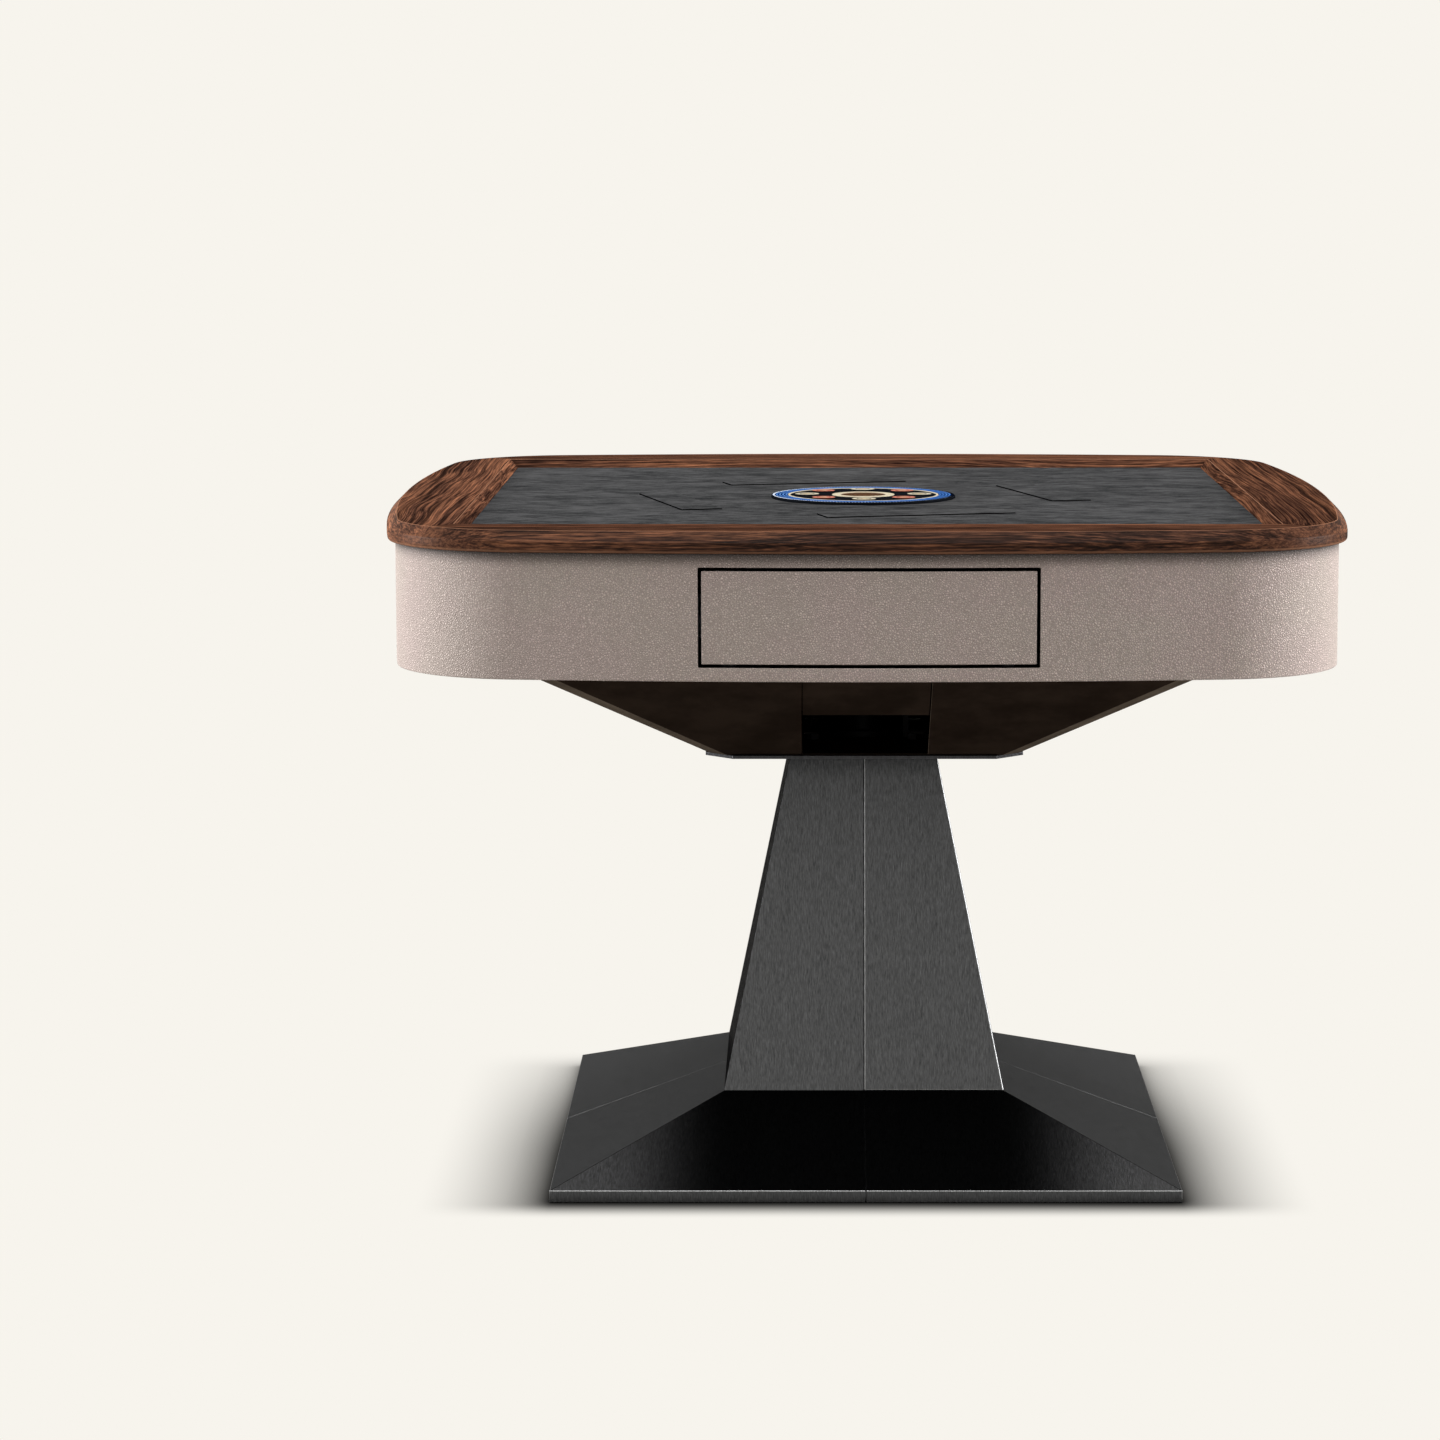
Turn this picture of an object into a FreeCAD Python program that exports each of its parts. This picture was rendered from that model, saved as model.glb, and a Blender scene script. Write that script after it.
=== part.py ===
import FreeCAD, Part
import os
import re

import Sketcher

# Driving sizes of a square automatic mahjong table, in millimetres and degrees.
# The front faces -Y, and the origin is on the floor under the middle of the top.
SIZES = {
    # Whole table and its walnut rim.
    "table_height": 760,
    "top_half": 537,
    "side_radius": 3270,
    "corner_radius": 157,
    "rim_width": 108,
    "rim_height": 23,
    "rim_chamfer": 11,
    "rim_foot_round": 4,
    "rim_bevel": 10,
    "rim_ledge_width": 16,
    "rim_ledge_thick": 6,
    # Playing surface inside the rim.
    "felt_thick": 2,
    "board_thick": 15,
    "console_hole_radius": 103,
    # Ramp hatches that let the tile rows up, turned together about the centre.
    "hatch_turn": 15,
    "hatch_drop": 19,
    "slot_inner": 194.5,
    "slot_width": 47.5,
    "slot_half_length": 109,
    "hatch_gap": 0.75,
    "lid_thick": 14,
    "knuckle_radius": 4,
    "hatch_pin_radius": 2,
    "hatch_pin_seat": 8,
    # Leather-covered skirt and its drawers.
    "skirt_inset": 9,
    "skirt_thick": 12,
    "skirt_height": 134.5,
    "drawer_half": 175,
    "drawer_height": 98,
    "drawer_rise": 18.2,
    "drawer_gap": 2.7,
    "tray_half": 150,
    "tray_height": 80,
    "tray_rise": 7.3,
    "tray_wall": 4,
    "tray_front": 12,
    "tray_inner_end": 336,
    "runner_lap": 10,
    "runner_thick": 3,
    "runner_guard": 32,
    "runner_setback": 11,
    # Mechanism deck that closes the skirt from below.
    "deck_thick": 4,
    "deck_hub_gap": 4,
    # Dark pan between the deck and the column.
    "hull_height": 128.5,
    "hull_top_half": 395,
    "hull_foot_half": 176,
    "hull_top_corner": 27,
    "hull_foot_corner": 20.5,
    "hull_sheet": 2,
    "hull_flange": 30,
    "service_half": 71,
    "service_open_height": 57.5,
    "service_cover_gap": 0.8,
    # Plate that joins the pan to the column.
    "plate_thick": 4,
    "plate_half": 180,
    "plate_corner": 31,
    # Column: a square post inside two folded shells.
    "column_foot_half": 160,
    "column_head_half": 82,
    "column_sheet": 2,
    "column_seam": 0.4,
    "post_tube_half": 50,
    "post_tube_wall": 4,
    "post_foot_half": 120,
    "post_head_half": 75,
    "post_flange_thick": 8,
    # Base: a heavy plate on pads under four folded covers.
    "base_half": 349,
    "base_edge_height": 13.8,
    "base_crown_height": 83.7,
    "base_sheet": 2,
    "base_lip": 30,
    "base_floor_gap": 0.5,
    "base_seam": 0.4,
    "base_plate_thick": 8,
    "pad_radius": 30,
    "pad_thick": 3,
    "pad_setback": 60,
    # Bolts at the head and the foot of the post.
    "head_bolt_place": 60,
    "foot_bolt_place": 95,
    "bolt_radius": 5,
    "bolt_hole_radius": 5.5,
    "bolt_flats_half": 8.5,
    "bolt_head_height": 6.4,
    "nut_height": 8,
    # Lift of the centre console: guide tube, post with a rack, pinion and motor.
    "console_travel": 75,
    "lift_post_radius": 15,
    "lift_post_floor_gap": 2,
    "lift_head_radius": 30,
    "lift_head_thick": 6,
    "guide_radius": 22,
    "guide_flange_radius": 45,
    "guide_flange_thick": 6,
    "guide_collar_radius": 30,
    "guide_collar_thick": 2.7,
    "guide_rise": 8,
    "gear_module": 2,
    "pinion_teeth": 16,
    "pinion_width": 10,
    "pinion_rise": 90,
    "pinion_shaft_radius": 4,
    "pinion_shaft_reach": 98,
    "pinion_window_gap": 0.8,
    "rack_tip": 12.8,
    "rack_gaps": 16,
    "rack_gaps_above": 2,
    "gear_backlash": 0.4,
    "lift_motor_radius": 20,
    "lift_motor_start": 46,
    "lift_motor_length": 68,
    "lift_bracket_thick": 6,
    "lift_foot_length": 40,
    "lift_foot_thick": 3,
    # Tile drum: tub, turntable, belt and motor.
    "tub_radius": 243,
    "tub_wall": 4,
    "tub_flange": 5,
    "tub_flange_thick": 3,
    "tub_height": 48.5,
    "turntable_radius": 238,
    "turntable_thick": 4,
    "turntable_gap": 9.5,
    "turntable_hub_radius": 40,
    "turntable_hub_rise": 12,
    "turntable_rib_height": 3,
    "turntable_rib_width": 6,
    "turntable_rib_margin": 14,
    "turntable_ribs": 8,
    "drum_wheel_radius": 60,
    "pulley_width": 10,
    "pulley_lip": 2,
    "pulley_lip_thick": 1,
    "pulley_deck_gap": 3.5,
    "motor_pulley_radius": 15,
    "motor_shaft_radius": 4,
    "motor_shaft_reach": 40,
    "motor_place": 250,
    "motor_radius": 35,
    "motor_height": 60,
    "motor_flange": 7,
    "motor_flange_thick": 4,
    "belt_thick": 1.5,
    # Beds that bring the tile rows to the open hatches.
    "bed_thick": 8,
    "bed_gap": 3,
    "bed_tray_gap": 8,
    "bed_web_thick": 6,
    "bed_web_setback": 28,
    # Console: housing, cover, dice chamber and buttons.
    "console_radius": 106.5,
    "console_rise": 3,
    "console_cover_thick": 2.7,
    "console_cover_chamfer": 1,
    "housing_radius": 100,
    "housing_wall": 3,
    "housing_depth": 38,
    "chamber_radius": 22,
    "chamber_wall": 3,
    "dice_shaft_radius": 3,
    "dice_boss_wall": 4,
    "dice_boss_height": 9,
    "dice_plate_drop": 15.3,
    "dice_plate_thick": 2,
    "dice_side": 11,
    "dice_round": 1.5,
    "dice_reach": 8.3,
    "dice_heading": 33,
    "window_chamfer": 1,
    "button_circle": 65,
    "seat_button_radius": 14,
    "round_button_radius": 13.5,
    "button_rise": 1.4,
    "button_gap": 0.35,
    "button_lip": 1.5,
    "button_lip_thick": 2.5,
    "button_chamfer": 0.6,
    # Mains inlet and power switch, under the deck behind the pan.
    "inlet_panel_half_length": 32,
    "inlet_panel_half_width": 15,
    "inlet_panel_thick": 2,
    "inlet_box_half_length": 28,
    "inlet_box_half_width": 12,
    "inlet_box_depth": 18,
    "socket_start": -24,
    "socket_length": 24,
    "socket_half_width": 8,
    "socket_depth": 14,
    "switch_place": 16.5,
    "switch_half_length": 10,
    "switch_half_width": 6.5,
    "switch_depth": 12,
    "rocker_tilt": 7,
    "rocker_depth": 5,
    "rocker_gap": 0.8,
    "rocker_pivot_depth": 1,
    # Clearances shared by all the fits, and the overrun of the cuts.
    "fit_gap": 0.3,
    "slide_gap": 0.15,
    "spin_gap": 0.08,
    "overrun": 5,
}

# Shares of the gear module that shape the teeth.
TOOTH_TIP_SHARE = 0.24
TOOTH_ROOT_SHARE = 0.72
TOOTH_DEPTH_SHARE = 1.25
PRESSURE_ANGLE = 20

QUARTER_TURN = 90
HALF_QUARTER = 45
FULL_TURN = 360
QUARTERS = range(4)

# Levels above the floor, from the top down, as expressions on the sheet.
RIM_FOOT = "(table_height - rim_height)"
FELT_TOP = "(table_height - rim_bevel)"
BOARD_TOP = f"({FELT_TOP} - felt_thick)"
BOARD_FOOT = f"({BOARD_TOP} - board_thick)"
LEDGE_FOOT = f"({BOARD_FOOT} - rim_ledge_thick)"
SKIRT_FOOT = f"({RIM_FOOT} - skirt_height)"
DECK_TOP = f"({SKIRT_FOOT} + deck_thick)"
HULL_FOOT = f"({SKIRT_FOOT} - hull_height)"
HULL_FLOOR = f"({HULL_FOOT} + hull_sheet)"
HULL_FLANGE_FOOT = f"({SKIRT_FOOT} - hull_sheet)"
SERVICE_HEAD = f"({HULL_FLOOR} + service_open_height)"
PLATE_FOOT = f"({HULL_FOOT} - plate_thick)"
POST_HEAD_FOOT = f"({PLATE_FOOT} - post_flange_thick)"
BASE_PLATE_TOP = "(pad_thick + base_plate_thick)"
POST_FOOT_TOP = f"({BASE_PLATE_TOP} + post_flange_thick)"
DRAWER_FOOT = f"({SKIRT_FOOT} + drawer_rise)"
DRAWER_TOP = f"({DRAWER_FOOT} + drawer_height)"
TRAY_FOOT = f"({DRAWER_FOOT} + tray_rise)"
TRAY_TOP = f"({TRAY_FOOT} + tray_height)"
RUNNER_TOP = f"({TRAY_FOOT} - fit_gap)"
LID_FOOT = f"({FELT_TOP} - lid_thick)"
HATCH_PIN_LEVEL = f"({LID_FOOT} + knuckle_radius)"
PULLEY_TOP = f"({SKIRT_FOOT} - pulley_deck_gap)"
PULLEY_FOOT = f"({PULLEY_TOP} - pulley_width)"
COLLAR_TOP = f"({PULLEY_FOOT} - fit_gap)"
COLLAR_FOOT = f"({COLLAR_TOP} - guide_collar_thick)"
TURNTABLE_FOOT = f"({DECK_TOP} + turntable_gap)"
TURNTABLE_TOP = f"({TURNTABLE_FOOT} + turntable_thick)"
HUB_TOP = f"({TURNTABLE_TOP} + turntable_hub_rise)"
GUIDE_TOP = f"({HUB_TOP} + guide_rise)"
PINION_LEVEL = f"({HULL_FLOOR} + pinion_rise)"
CONSOLE_TOP = f"({FELT_TOP} + console_rise)"
COVER_FOOT = f"({CONSOLE_TOP} - console_cover_thick)"
HOUSING_FOOT = f"({COVER_FOOT} - housing_depth)"
HOUSING_FLOOR = f"({HOUSING_FOOT} + housing_wall)"
LIFT_HEAD_FOOT = f"({HOUSING_FOOT} - lift_head_thick)"
DICE_PLATE_TOP = f"({COVER_FOOT} - dice_plate_drop)"

# Insets of the bowed outline of the top, and other places that pieces share.
FELT_HALF = "(top_half - rim_width)"
SKIRT_INNER = "(skirt_inset + skirt_thick)"
FITTED_INSET = f"({SKIRT_INNER} + fit_gap)"
HULL_LEAN = "((hull_top_half - hull_foot_half) / hull_height)"
HULL_WALL = f"(hull_sheet * sqrt(1 + {HULL_LEAN}^2))"
COLUMN_HEIGHT = f"({PLATE_FOOT} - base_crown_height)"
COLUMN_LEAN = f"((column_foot_half - column_head_half) / {COLUMN_HEIGHT})"
COLUMN_WALL = f"(column_sheet * sqrt(1 + {COLUMN_LEAN}^2))"
BASE_RISE = "((base_crown_height - base_edge_height) / (base_half - column_foot_half))"
BASE_DROP = f"(base_sheet * sqrt(1 + {BASE_RISE}^2))"
SLOT_OUTER = "(slot_inner + slot_width)"
HATCH_PIN_PLACE = "(hatch_gap + knuckle_radius - slot_half_length)"
LID_REACH = "(2 * (slot_half_length - hatch_gap) - knuckle_radius)"
BED_TOP = (f"({HATCH_PIN_LEVEL} - {LID_REACH} * sin(hatch_drop)"
           " + (lid_thick - knuckle_radius) * cos(hatch_drop))")
BED_END = (f"((tray_inner_end - bed_tray_gap - {SLOT_OUTER} * sin(hatch_turn))"
           " / cos(hatch_turn))")
PITCH = "(pi * gear_module)"
PINION_PITCH_RADIUS = "(gear_module * pinion_teeth / 2)"
RACK_PITCH_LINE = "(rack_tip - gear_module)"
PINION_PLACE = f"({RACK_PITCH_LINE} + {PINION_PITCH_RADIUS})"
WINDOW_RADIUS = "(chamber_radius + chamber_wall)"
MOTOR_DISTANCE = "(motor_place * sqrt(2))"
INLET_PLACE = f"((hull_top_half + top_half - {SKIRT_INNER}) / 2)"

DOC = FreeCAD.newDocument("MahjongTable")
WORD = re.compile(r"[A-Za-z_]+")


def fill_sheet():
    """Write the driving sizes into the sheet, one alias to each row."""
    sheet = DOC.addObject("Spreadsheet::Sheet", "Sizes")
    for row, (name, size) in enumerate(SIZES.items(), start=1):
        sheet.set(f"A{row}", name)
        sheet.set(f"B{row}", str(size))
        sheet.setAlias(f"B{row}", name)
    DOC.recompute()


def bound(text):
    """Point each size in an expression at its cell of the sheet."""
    return WORD.sub(lambda word: "Sizes." + word.group() if word.group() in SIZES else word.group(), text)


def value(text):
    """Work out an expression on the sheet as a plain number."""
    return float(DOC.Sizes.evalExpression(bound(text)))


def add_body(label):
    """Start the body of one sub-part."""
    body = DOC.addObject("PartDesign::Body", label)
    body.Label = label
    return body


def origin_feature(body, role):
    """Find a plane or an axis of a body's own origin."""
    return next(item for item in body.Origin.OriginFeatures if item.Role == role)


def add_sketch(body, plane, offset="0", turn="0"):
    """Lay a sketch on an origin plane, moved along its normal and turned about it."""
    sketch = body.newObject("Sketcher::SketchObject", body.Label + "_sketch")
    sketch.AttachmentSupport = [(origin_feature(body, plane), "")]
    sketch.MapMode = "FlatFace"
    sketch.setExpression("AttachmentOffset.Base.z", bound(offset))
    sketch.setExpression("AttachmentOffset.Rotation.Angle", bound(turn))
    return sketch


def bind_point(sketch, shape, point, across, along):
    """Tie one point of a sketch to two expressions."""
    for kind, text in (("DistanceX", across), ("DistanceY", along)):
        number = sketch.addConstraint(Sketcher.Constraint(kind, -1, 1, shape, point, value(text)))
        sketch.setExpression(f"Constraints[{number}]", bound(text))


def add_polygon(sketch, corners):
    """Draw a closed polygon through corners given as pairs of expressions."""
    first = sketch.GeometryCount
    points = [FreeCAD.Vector(value(across), value(along), 0) for across, along in corners]
    count = len(points)
    for index, point in enumerate(points):
        sketch.addGeometry(Part.LineSegment(point, points[(index + 1) % count]), False)
    for index in range(count):
        sketch.addConstraint(
            Sketcher.Constraint("Coincident", first + index, 2, first + (index + 1) % count, 1))
    for index, (across, along) in enumerate(corners):
        bind_point(sketch, first + index, 1, across, along)


def add_rectangle(sketch, left, low, right, high):
    """Draw a rectangle between two pairs of expressions."""
    add_polygon(sketch, [(left, low), (right, low), (right, high), (left, high)])


def add_square(sketch, half):
    """Draw a square about the origin."""
    add_rectangle(sketch, f"-{half}", f"-{half}", half, half)


def add_octagon(sketch, half, corner):
    """Draw a square with its corners cut off."""
    inner = f"({half} - {corner})"
    add_polygon(sketch, [
        (f"-{inner}", f"-{half}"), (inner, f"-{half}"), (half, f"-{inner}"), (half, inner),
        (inner, half), (f"-{inner}", half), (f"-{half}", inner), (f"-{half}", f"-{inner}")])


def add_circle(sketch, across, along, radius):
    """Draw a circle about a point given by two expressions."""
    centre = FreeCAD.Vector(value(across), value(along), 0)
    axis = FreeCAD.Vector(0, 0, 1)
    circle = sketch.addGeometry(Part.Circle(centre, axis, value(radius)), False)
    bind_point(sketch, circle, 3, across, along)
    number = sketch.addConstraint(Sketcher.Constraint("Radius", circle, value(radius)))
    sketch.setExpression(f"Constraints[{number}]", bound(radius))


def bind_radius(sketch, arc, radius):
    """Tie the radius of an arc to an expression."""
    number = sketch.addConstraint(Sketcher.Constraint("Radius", arc, value(radius)))
    sketch.setExpression(f"Constraints[{number}]", bound(radius))


def add_outline(sketch, inset):
    """Draw the bowed square of the top, drawn in by an inset.

    Each side is one large arc about a point beyond the middle, and each corner
    is a small arc tangent to two sides.
    """
    side = f"(side_radius - {inset})"
    corner = f"(corner_radius - {inset})"
    beyond = "(side_radius - top_half)"
    far = value(beyond)
    gap = value("side_radius - corner_radius")
    diagonal = ((8 * gap ** 2 - 4 * far ** 2) ** 0.5 - 2 * far) / 4
    axis = FreeCAD.Vector(0, 0, 1)
    lean = FreeCAD.Vector(diagonal, far + diagonal, 0).getAngle(FreeCAD.Vector(0, 1, 0))
    arcs = []
    for quarter in QUARTERS:
        turn = FreeCAD.Rotation(axis, quarter * QUARTER_TURN)
        facing = FreeCAD.Units.Quantity(f"{(quarter - 1) * QUARTER_TURN} deg").getValueAs("rad").Value
        right_angle = FreeCAD.Units.Quantity(f"{QUARTER_TURN} deg").getValueAs("rad").Value
        side_circle = Part.Circle(turn.multVec(FreeCAD.Vector(0, far, 0)), axis, value(side))
        corner_centre = turn.multVec(FreeCAD.Vector(diagonal, -diagonal, 0))
        corner_circle = Part.Circle(corner_centre, axis, value(corner))
        side_arc = Part.ArcOfCircle(side_circle, facing - lean, facing + lean)
        corner_arc = Part.ArcOfCircle(corner_circle, facing + lean, facing + right_angle - lean)
        arcs += [sketch.addGeometry(side_arc, False), sketch.addGeometry(corner_arc, False)]
    places = [("DistanceY", -2, beyond), ("DistanceX", -1, f"-{beyond}"),
              ("DistanceY", -2, f"-{beyond}"), ("DistanceX", -1, beyond)]
    for quarter, (kind, line, text) in enumerate(places):
        arc = arcs[2 * quarter]
        sketch.addConstraint(Sketcher.Constraint("PointOnObject", arc, 3, line))
        number = sketch.addConstraint(Sketcher.Constraint(kind, -1, 1, arc, 3, value(text)))
        sketch.setExpression(f"Constraints[{number}]", bound(text))
        bind_radius(sketch, arc, side)
        bind_radius(sketch, arcs[2 * quarter + 1], corner)
    for index, arc in enumerate(arcs):
        following = arcs[(index + 1) % len(arcs)]
        sketch.addConstraint(Sketcher.Constraint("Tangent", arc, 2, following, 1))


def pad(body, sketch, length, downward=False):
    """Thicken a sketch into the body."""
    feature = body.newObject("PartDesign::Pad", body.Label + "_pad")
    feature.Profile = sketch
    feature.Reversed = downward
    feature.setExpression("Length", bound(length))
    return feature


def pad_both_ways(body, sketch, length):
    """Thicken a sketch to both sides of its plane."""
    feature = pad(body, sketch, length)
    feature.SideType = "Symmetric"
    return feature


def pocket(body, sketch, length, backward=False):
    """Cut a sketch into the body to a depth."""
    feature = body.newObject("PartDesign::Pocket", body.Label + "_pocket")
    feature.Profile = sketch
    feature.Reversed = backward
    feature.setExpression("Length", bound(length))
    return feature


def pocket_through(body, sketch):
    """Cut a sketch right through the body, to both sides of its plane."""
    feature = body.newObject("PartDesign::Pocket", body.Label + "_pocket")
    feature.Profile = sketch
    feature.Type = "ThroughAll"
    feature.SideType = "Symmetric"
    return feature


def revolve(body, corners):
    """Turn a profile of radius and level pairs about the body's upright axis."""
    sketch = add_sketch(body, "XZ_Plane")
    add_polygon(sketch, corners)
    feature = body.newObject("PartDesign::Revolution", body.Label + "_revolution")
    feature.Profile = sketch
    feature.ReferenceAxis = (sketch, ["V_Axis"])
    feature.Angle = FULL_TURN
    return feature


def loft(body, kind, low_sketch, high_sketch):
    """Join two sketches with straight-sided walls, added or cut away."""
    feature = body.newObject("PartDesign::" + kind, body.Label + "_loft")
    feature.Profile = low_sketch
    feature.Sections = [high_sketch]
    feature.Ruled = True
    return feature


def repeat_round(body, feature, axis, count):
    """Repeat a feature evenly about one of the body's axes."""
    pattern = body.newObject("PartDesign::PolarPattern", body.Label + "_round")
    pattern.Originals = [feature]
    pattern.Axis = (origin_feature(body, axis), [""])
    pattern.Angle = FULL_TURN
    pattern.setExpression("Occurrences", bound(count))
    body.Tip = pattern
    return pattern


def dress_edges(body, kind, base, size, chosen):
    """Chamfer or round the edges of a feature that a test picks."""
    DOC.recompute()
    names = [f"Edge{index}" for index, edge in enumerate(base.Shape.Edges, start=1) if chosen(edge)]
    feature = body.newObject("PartDesign::" + kind, body.Label + "_" + kind.lower())
    feature.Base = (base, names)
    feature.setExpression("Radius" if kind == "Fillet" else "Size", bound(size))
    return feature


def is_level(edge, level):
    """Tell whether an edge lies flat at a level."""
    low, high = edge.BoundBox.ZMin, edge.BoundBox.ZMax
    near = value("overrun") / 1000
    return abs(low - level) < near and abs(high - level) < near


def turn_about_centre(part, angle):
    """Turn a whole sub-part about the upright axis through the centre."""
    part.setExpression("Placement.Rotation.Angle", bound(angle))
    return part


def set_place(part, across="0", along="0", level="0"):
    """Move a whole sub-part to a place given by three expressions."""
    for name, text in (("x", across), ("y", along), ("z", level)):
        part.setExpression(f"Placement.Base.{name}", bound(text))
    return part


def add_box(name, low, high):
    """Make a box between two corners of expressions."""
    box = DOC.addObject("Part::Box", name)
    for axis, size, start, end in zip("xyz", ("Length", "Width", "Height"), low, high):
        box.setExpression(f"Placement.Base.{axis}", bound(start))
        box.setExpression(size, bound(f"({end}) - ({start})"))
    return box


def add_turned_box(name, low, high, angle):
    """Make a box between two corners, then turn it about the centre of the table."""
    sine, cosine = f"sin({angle})", f"cos({angle})"
    box = add_box(name, low, high)
    across = f"({low[0]}) * {cosine} - ({low[1]}) * {sine}"
    along = f"({low[0]}) * {sine} + ({low[1]}) * {cosine}"
    set_place(box, across, along, low[2])
    return turn_about_centre(box, angle)


def combine(kind, label, base, tool):
    """Cut one shape by another, or keep what they share."""
    part = DOC.addObject("Part::" + kind, label)
    part.Label = label
    part.Base = base
    part.Tool = tool
    return part


def add_group(label, members):
    """Keep several separate solids in one node."""
    group = DOC.addObject("Part::Compound", label)
    group.Label = label
    group.Links = members
    return group


def quarter_angle(quarter):
    """Give the expression for a number of quarter turns."""
    return f"{quarter * QUARTER_TURN}"


# Base: pads, plate and four folded covers.

def make_base_pads():
    """Four round pads under the corners of the plate."""
    pads = []
    place = "(base_half - pad_setback)"
    for across, along in ((-1, -1), (1, -1), (1, 1), (-1, 1)):
        foot = DOC.addObject("Part::Cylinder", "pad_disc")
        foot.setExpression("Radius", bound("pad_radius"))
        foot.setExpression("Height", bound("pad_thick"))
        pads.append(set_place(foot, f"{across} * {place}", f"{along} * {place}"))
    return [add_group("base_pads", pads)]


def make_base_plate():
    """Heavy steel plate that fills the covers and takes the foot bolts."""
    body = add_body("base_plate")
    outline = add_sketch(body, "XY_Plane", "pad_thick")
    add_square(outline, "(base_half - base_sheet - fit_gap)")
    pad(body, outline, "base_plate_thick")
    holes = add_sketch(body, "XY_Plane")
    add_four_circles(holes, "foot_bolt_place", "bolt_radius")
    pocket_through(body, holes)
    return [body]


def add_four_circles(sketch, place, radius):
    """Draw a circle in each quarter of a square pattern."""
    for across, along in ((-1, -1), (1, -1), (1, 1), (-1, 1)):
        add_circle(sketch, f"{across} * {place}", f"{along} * {place}", radius)


def make_base_covers():
    """Low pyramid of folded sheet, split at the middle of each side."""
    blank = add_body("base_cover_blank")
    skirt = add_sketch(blank, "XY_Plane", "base_floor_gap")
    add_square(skirt, "base_half")
    pad(blank, skirt, "(base_edge_height - base_floor_gap)")
    edge = add_sketch(blank, "XY_Plane", "base_edge_height")
    add_square(edge, "base_half")
    crown = add_sketch(blank, "XY_Plane", "base_crown_height")
    add_square(crown, "column_foot_half")
    loft(blank, "AdditiveLoft", edge, crown)
    inner_half = "(base_half - base_sheet)"
    inner_edge = f"(base_edge_height + base_sheet * {BASE_RISE} - {BASE_DROP})"
    inner_top = "(base_crown_height - base_sheet)"
    crown_half = f"({inner_half} - ({inner_top} - {inner_edge}) / {BASE_RISE})"
    hollow = add_sketch(blank, "XY_Plane", inner_edge)
    add_square(hollow, inner_half)
    pocket(blank, hollow, f"({inner_edge} + overrun)")
    inner_low = add_sketch(blank, "XY_Plane", inner_edge)
    add_square(inner_low, inner_half)
    inner_high = add_sketch(blank, "XY_Plane", inner_top)
    add_square(inner_high, crown_half)
    loft(blank, "SubtractiveLoft", inner_low, inner_high)
    mouth = add_sketch(blank, "XY_Plane")
    add_square(mouth, "(column_foot_half - base_lip)")
    pocket_through(blank, mouth)
    covers = []
    names = ("back_right", "back_left", "front_left", "front_right")
    for quarter, name in zip(QUARTERS, names):
        quadrant = add_turned_box(
            "base_quadrant", ("base_seam / 2", "base_seam / 2", "0"),
            ("base_half + overrun", "base_half + overrun", "base_crown_height + overrun"),
            quarter_angle(quarter))
        covers.append(combine("Common", "base_cover_" + name, blank, quadrant))
    return covers


# Column: post with flanges, and two folded shells.

def make_column_post():
    """Square tube with a flange at each end, welded up."""
    body = add_body("column_post")
    foot = add_sketch(body, "XY_Plane", BASE_PLATE_TOP)
    add_square(foot, "post_foot_half")
    pad(body, foot, "post_flange_thick")
    tube = add_sketch(body, "XY_Plane", POST_FOOT_TOP)
    add_square(tube, "post_tube_half")
    pad(body, tube, f"({POST_HEAD_FOOT} - {POST_FOOT_TOP})")
    head = add_sketch(body, "XY_Plane", POST_HEAD_FOOT)
    add_square(head, "post_head_half")
    pad(body, head, "post_flange_thick")
    bore = add_sketch(body, "XY_Plane")
    add_square(bore, "(post_tube_half - post_tube_wall)")
    pocket_through(body, bore)
    for level, place, radius in ((POST_FOOT_TOP, "foot_bolt_place", "bolt_hole_radius"),
                                 (PLATE_FOOT, "head_bolt_place", "bolt_hole_radius")):
        holes = add_sketch(body, "XY_Plane", level)
        add_four_circles(holes, place, radius)
        pocket(body, holes, "post_flange_thick")
    return [body]


def make_column_shells():
    """Tapered square shell of folded sheet, split at the front and the back."""
    blank = add_body("column_blank")
    low = add_sketch(blank, "XY_Plane", "base_crown_height")
    add_square(low, "column_foot_half")
    high = add_sketch(blank, "XY_Plane", PLATE_FOOT)
    add_square(high, "column_head_half")
    loft(blank, "AdditiveLoft", low, high)
    inner_low = add_sketch(blank, "XY_Plane", "base_crown_height")
    add_square(inner_low, f"(column_foot_half - {COLUMN_WALL})")
    inner_high = add_sketch(blank, "XY_Plane", PLATE_FOOT)
    add_square(inner_high, f"(column_head_half - {COLUMN_WALL})")
    loft(blank, "SubtractiveLoft", inner_low, inner_high)
    shells = []
    reach = "(column_foot_half + overrun)"
    spans = {"left": (f"-{reach}", "-column_seam / 2"), "right": ("column_seam / 2", reach)}
    for side, (start, end) in spans.items():
        half = add_box("column_half", (start, f"-{reach}", "0"), (end, reach, FELT_TOP))
        shells.append(combine("Common", "column_shell_" + side, blank, half))
    return shells


def make_mounting_plate():
    """Plate with cut corners between the column and the pan."""
    body = add_body("mounting_plate")
    outline = add_sketch(body, "XY_Plane", PLATE_FOOT)
    add_octagon(outline, "plate_half", "plate_corner")
    pad(body, outline, "plate_thick")
    holes = add_sketch(body, "XY_Plane")
    add_four_circles(holes, "head_bolt_place", "bolt_hole_radius")
    pocket_through(body, holes)
    return [body]


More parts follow.
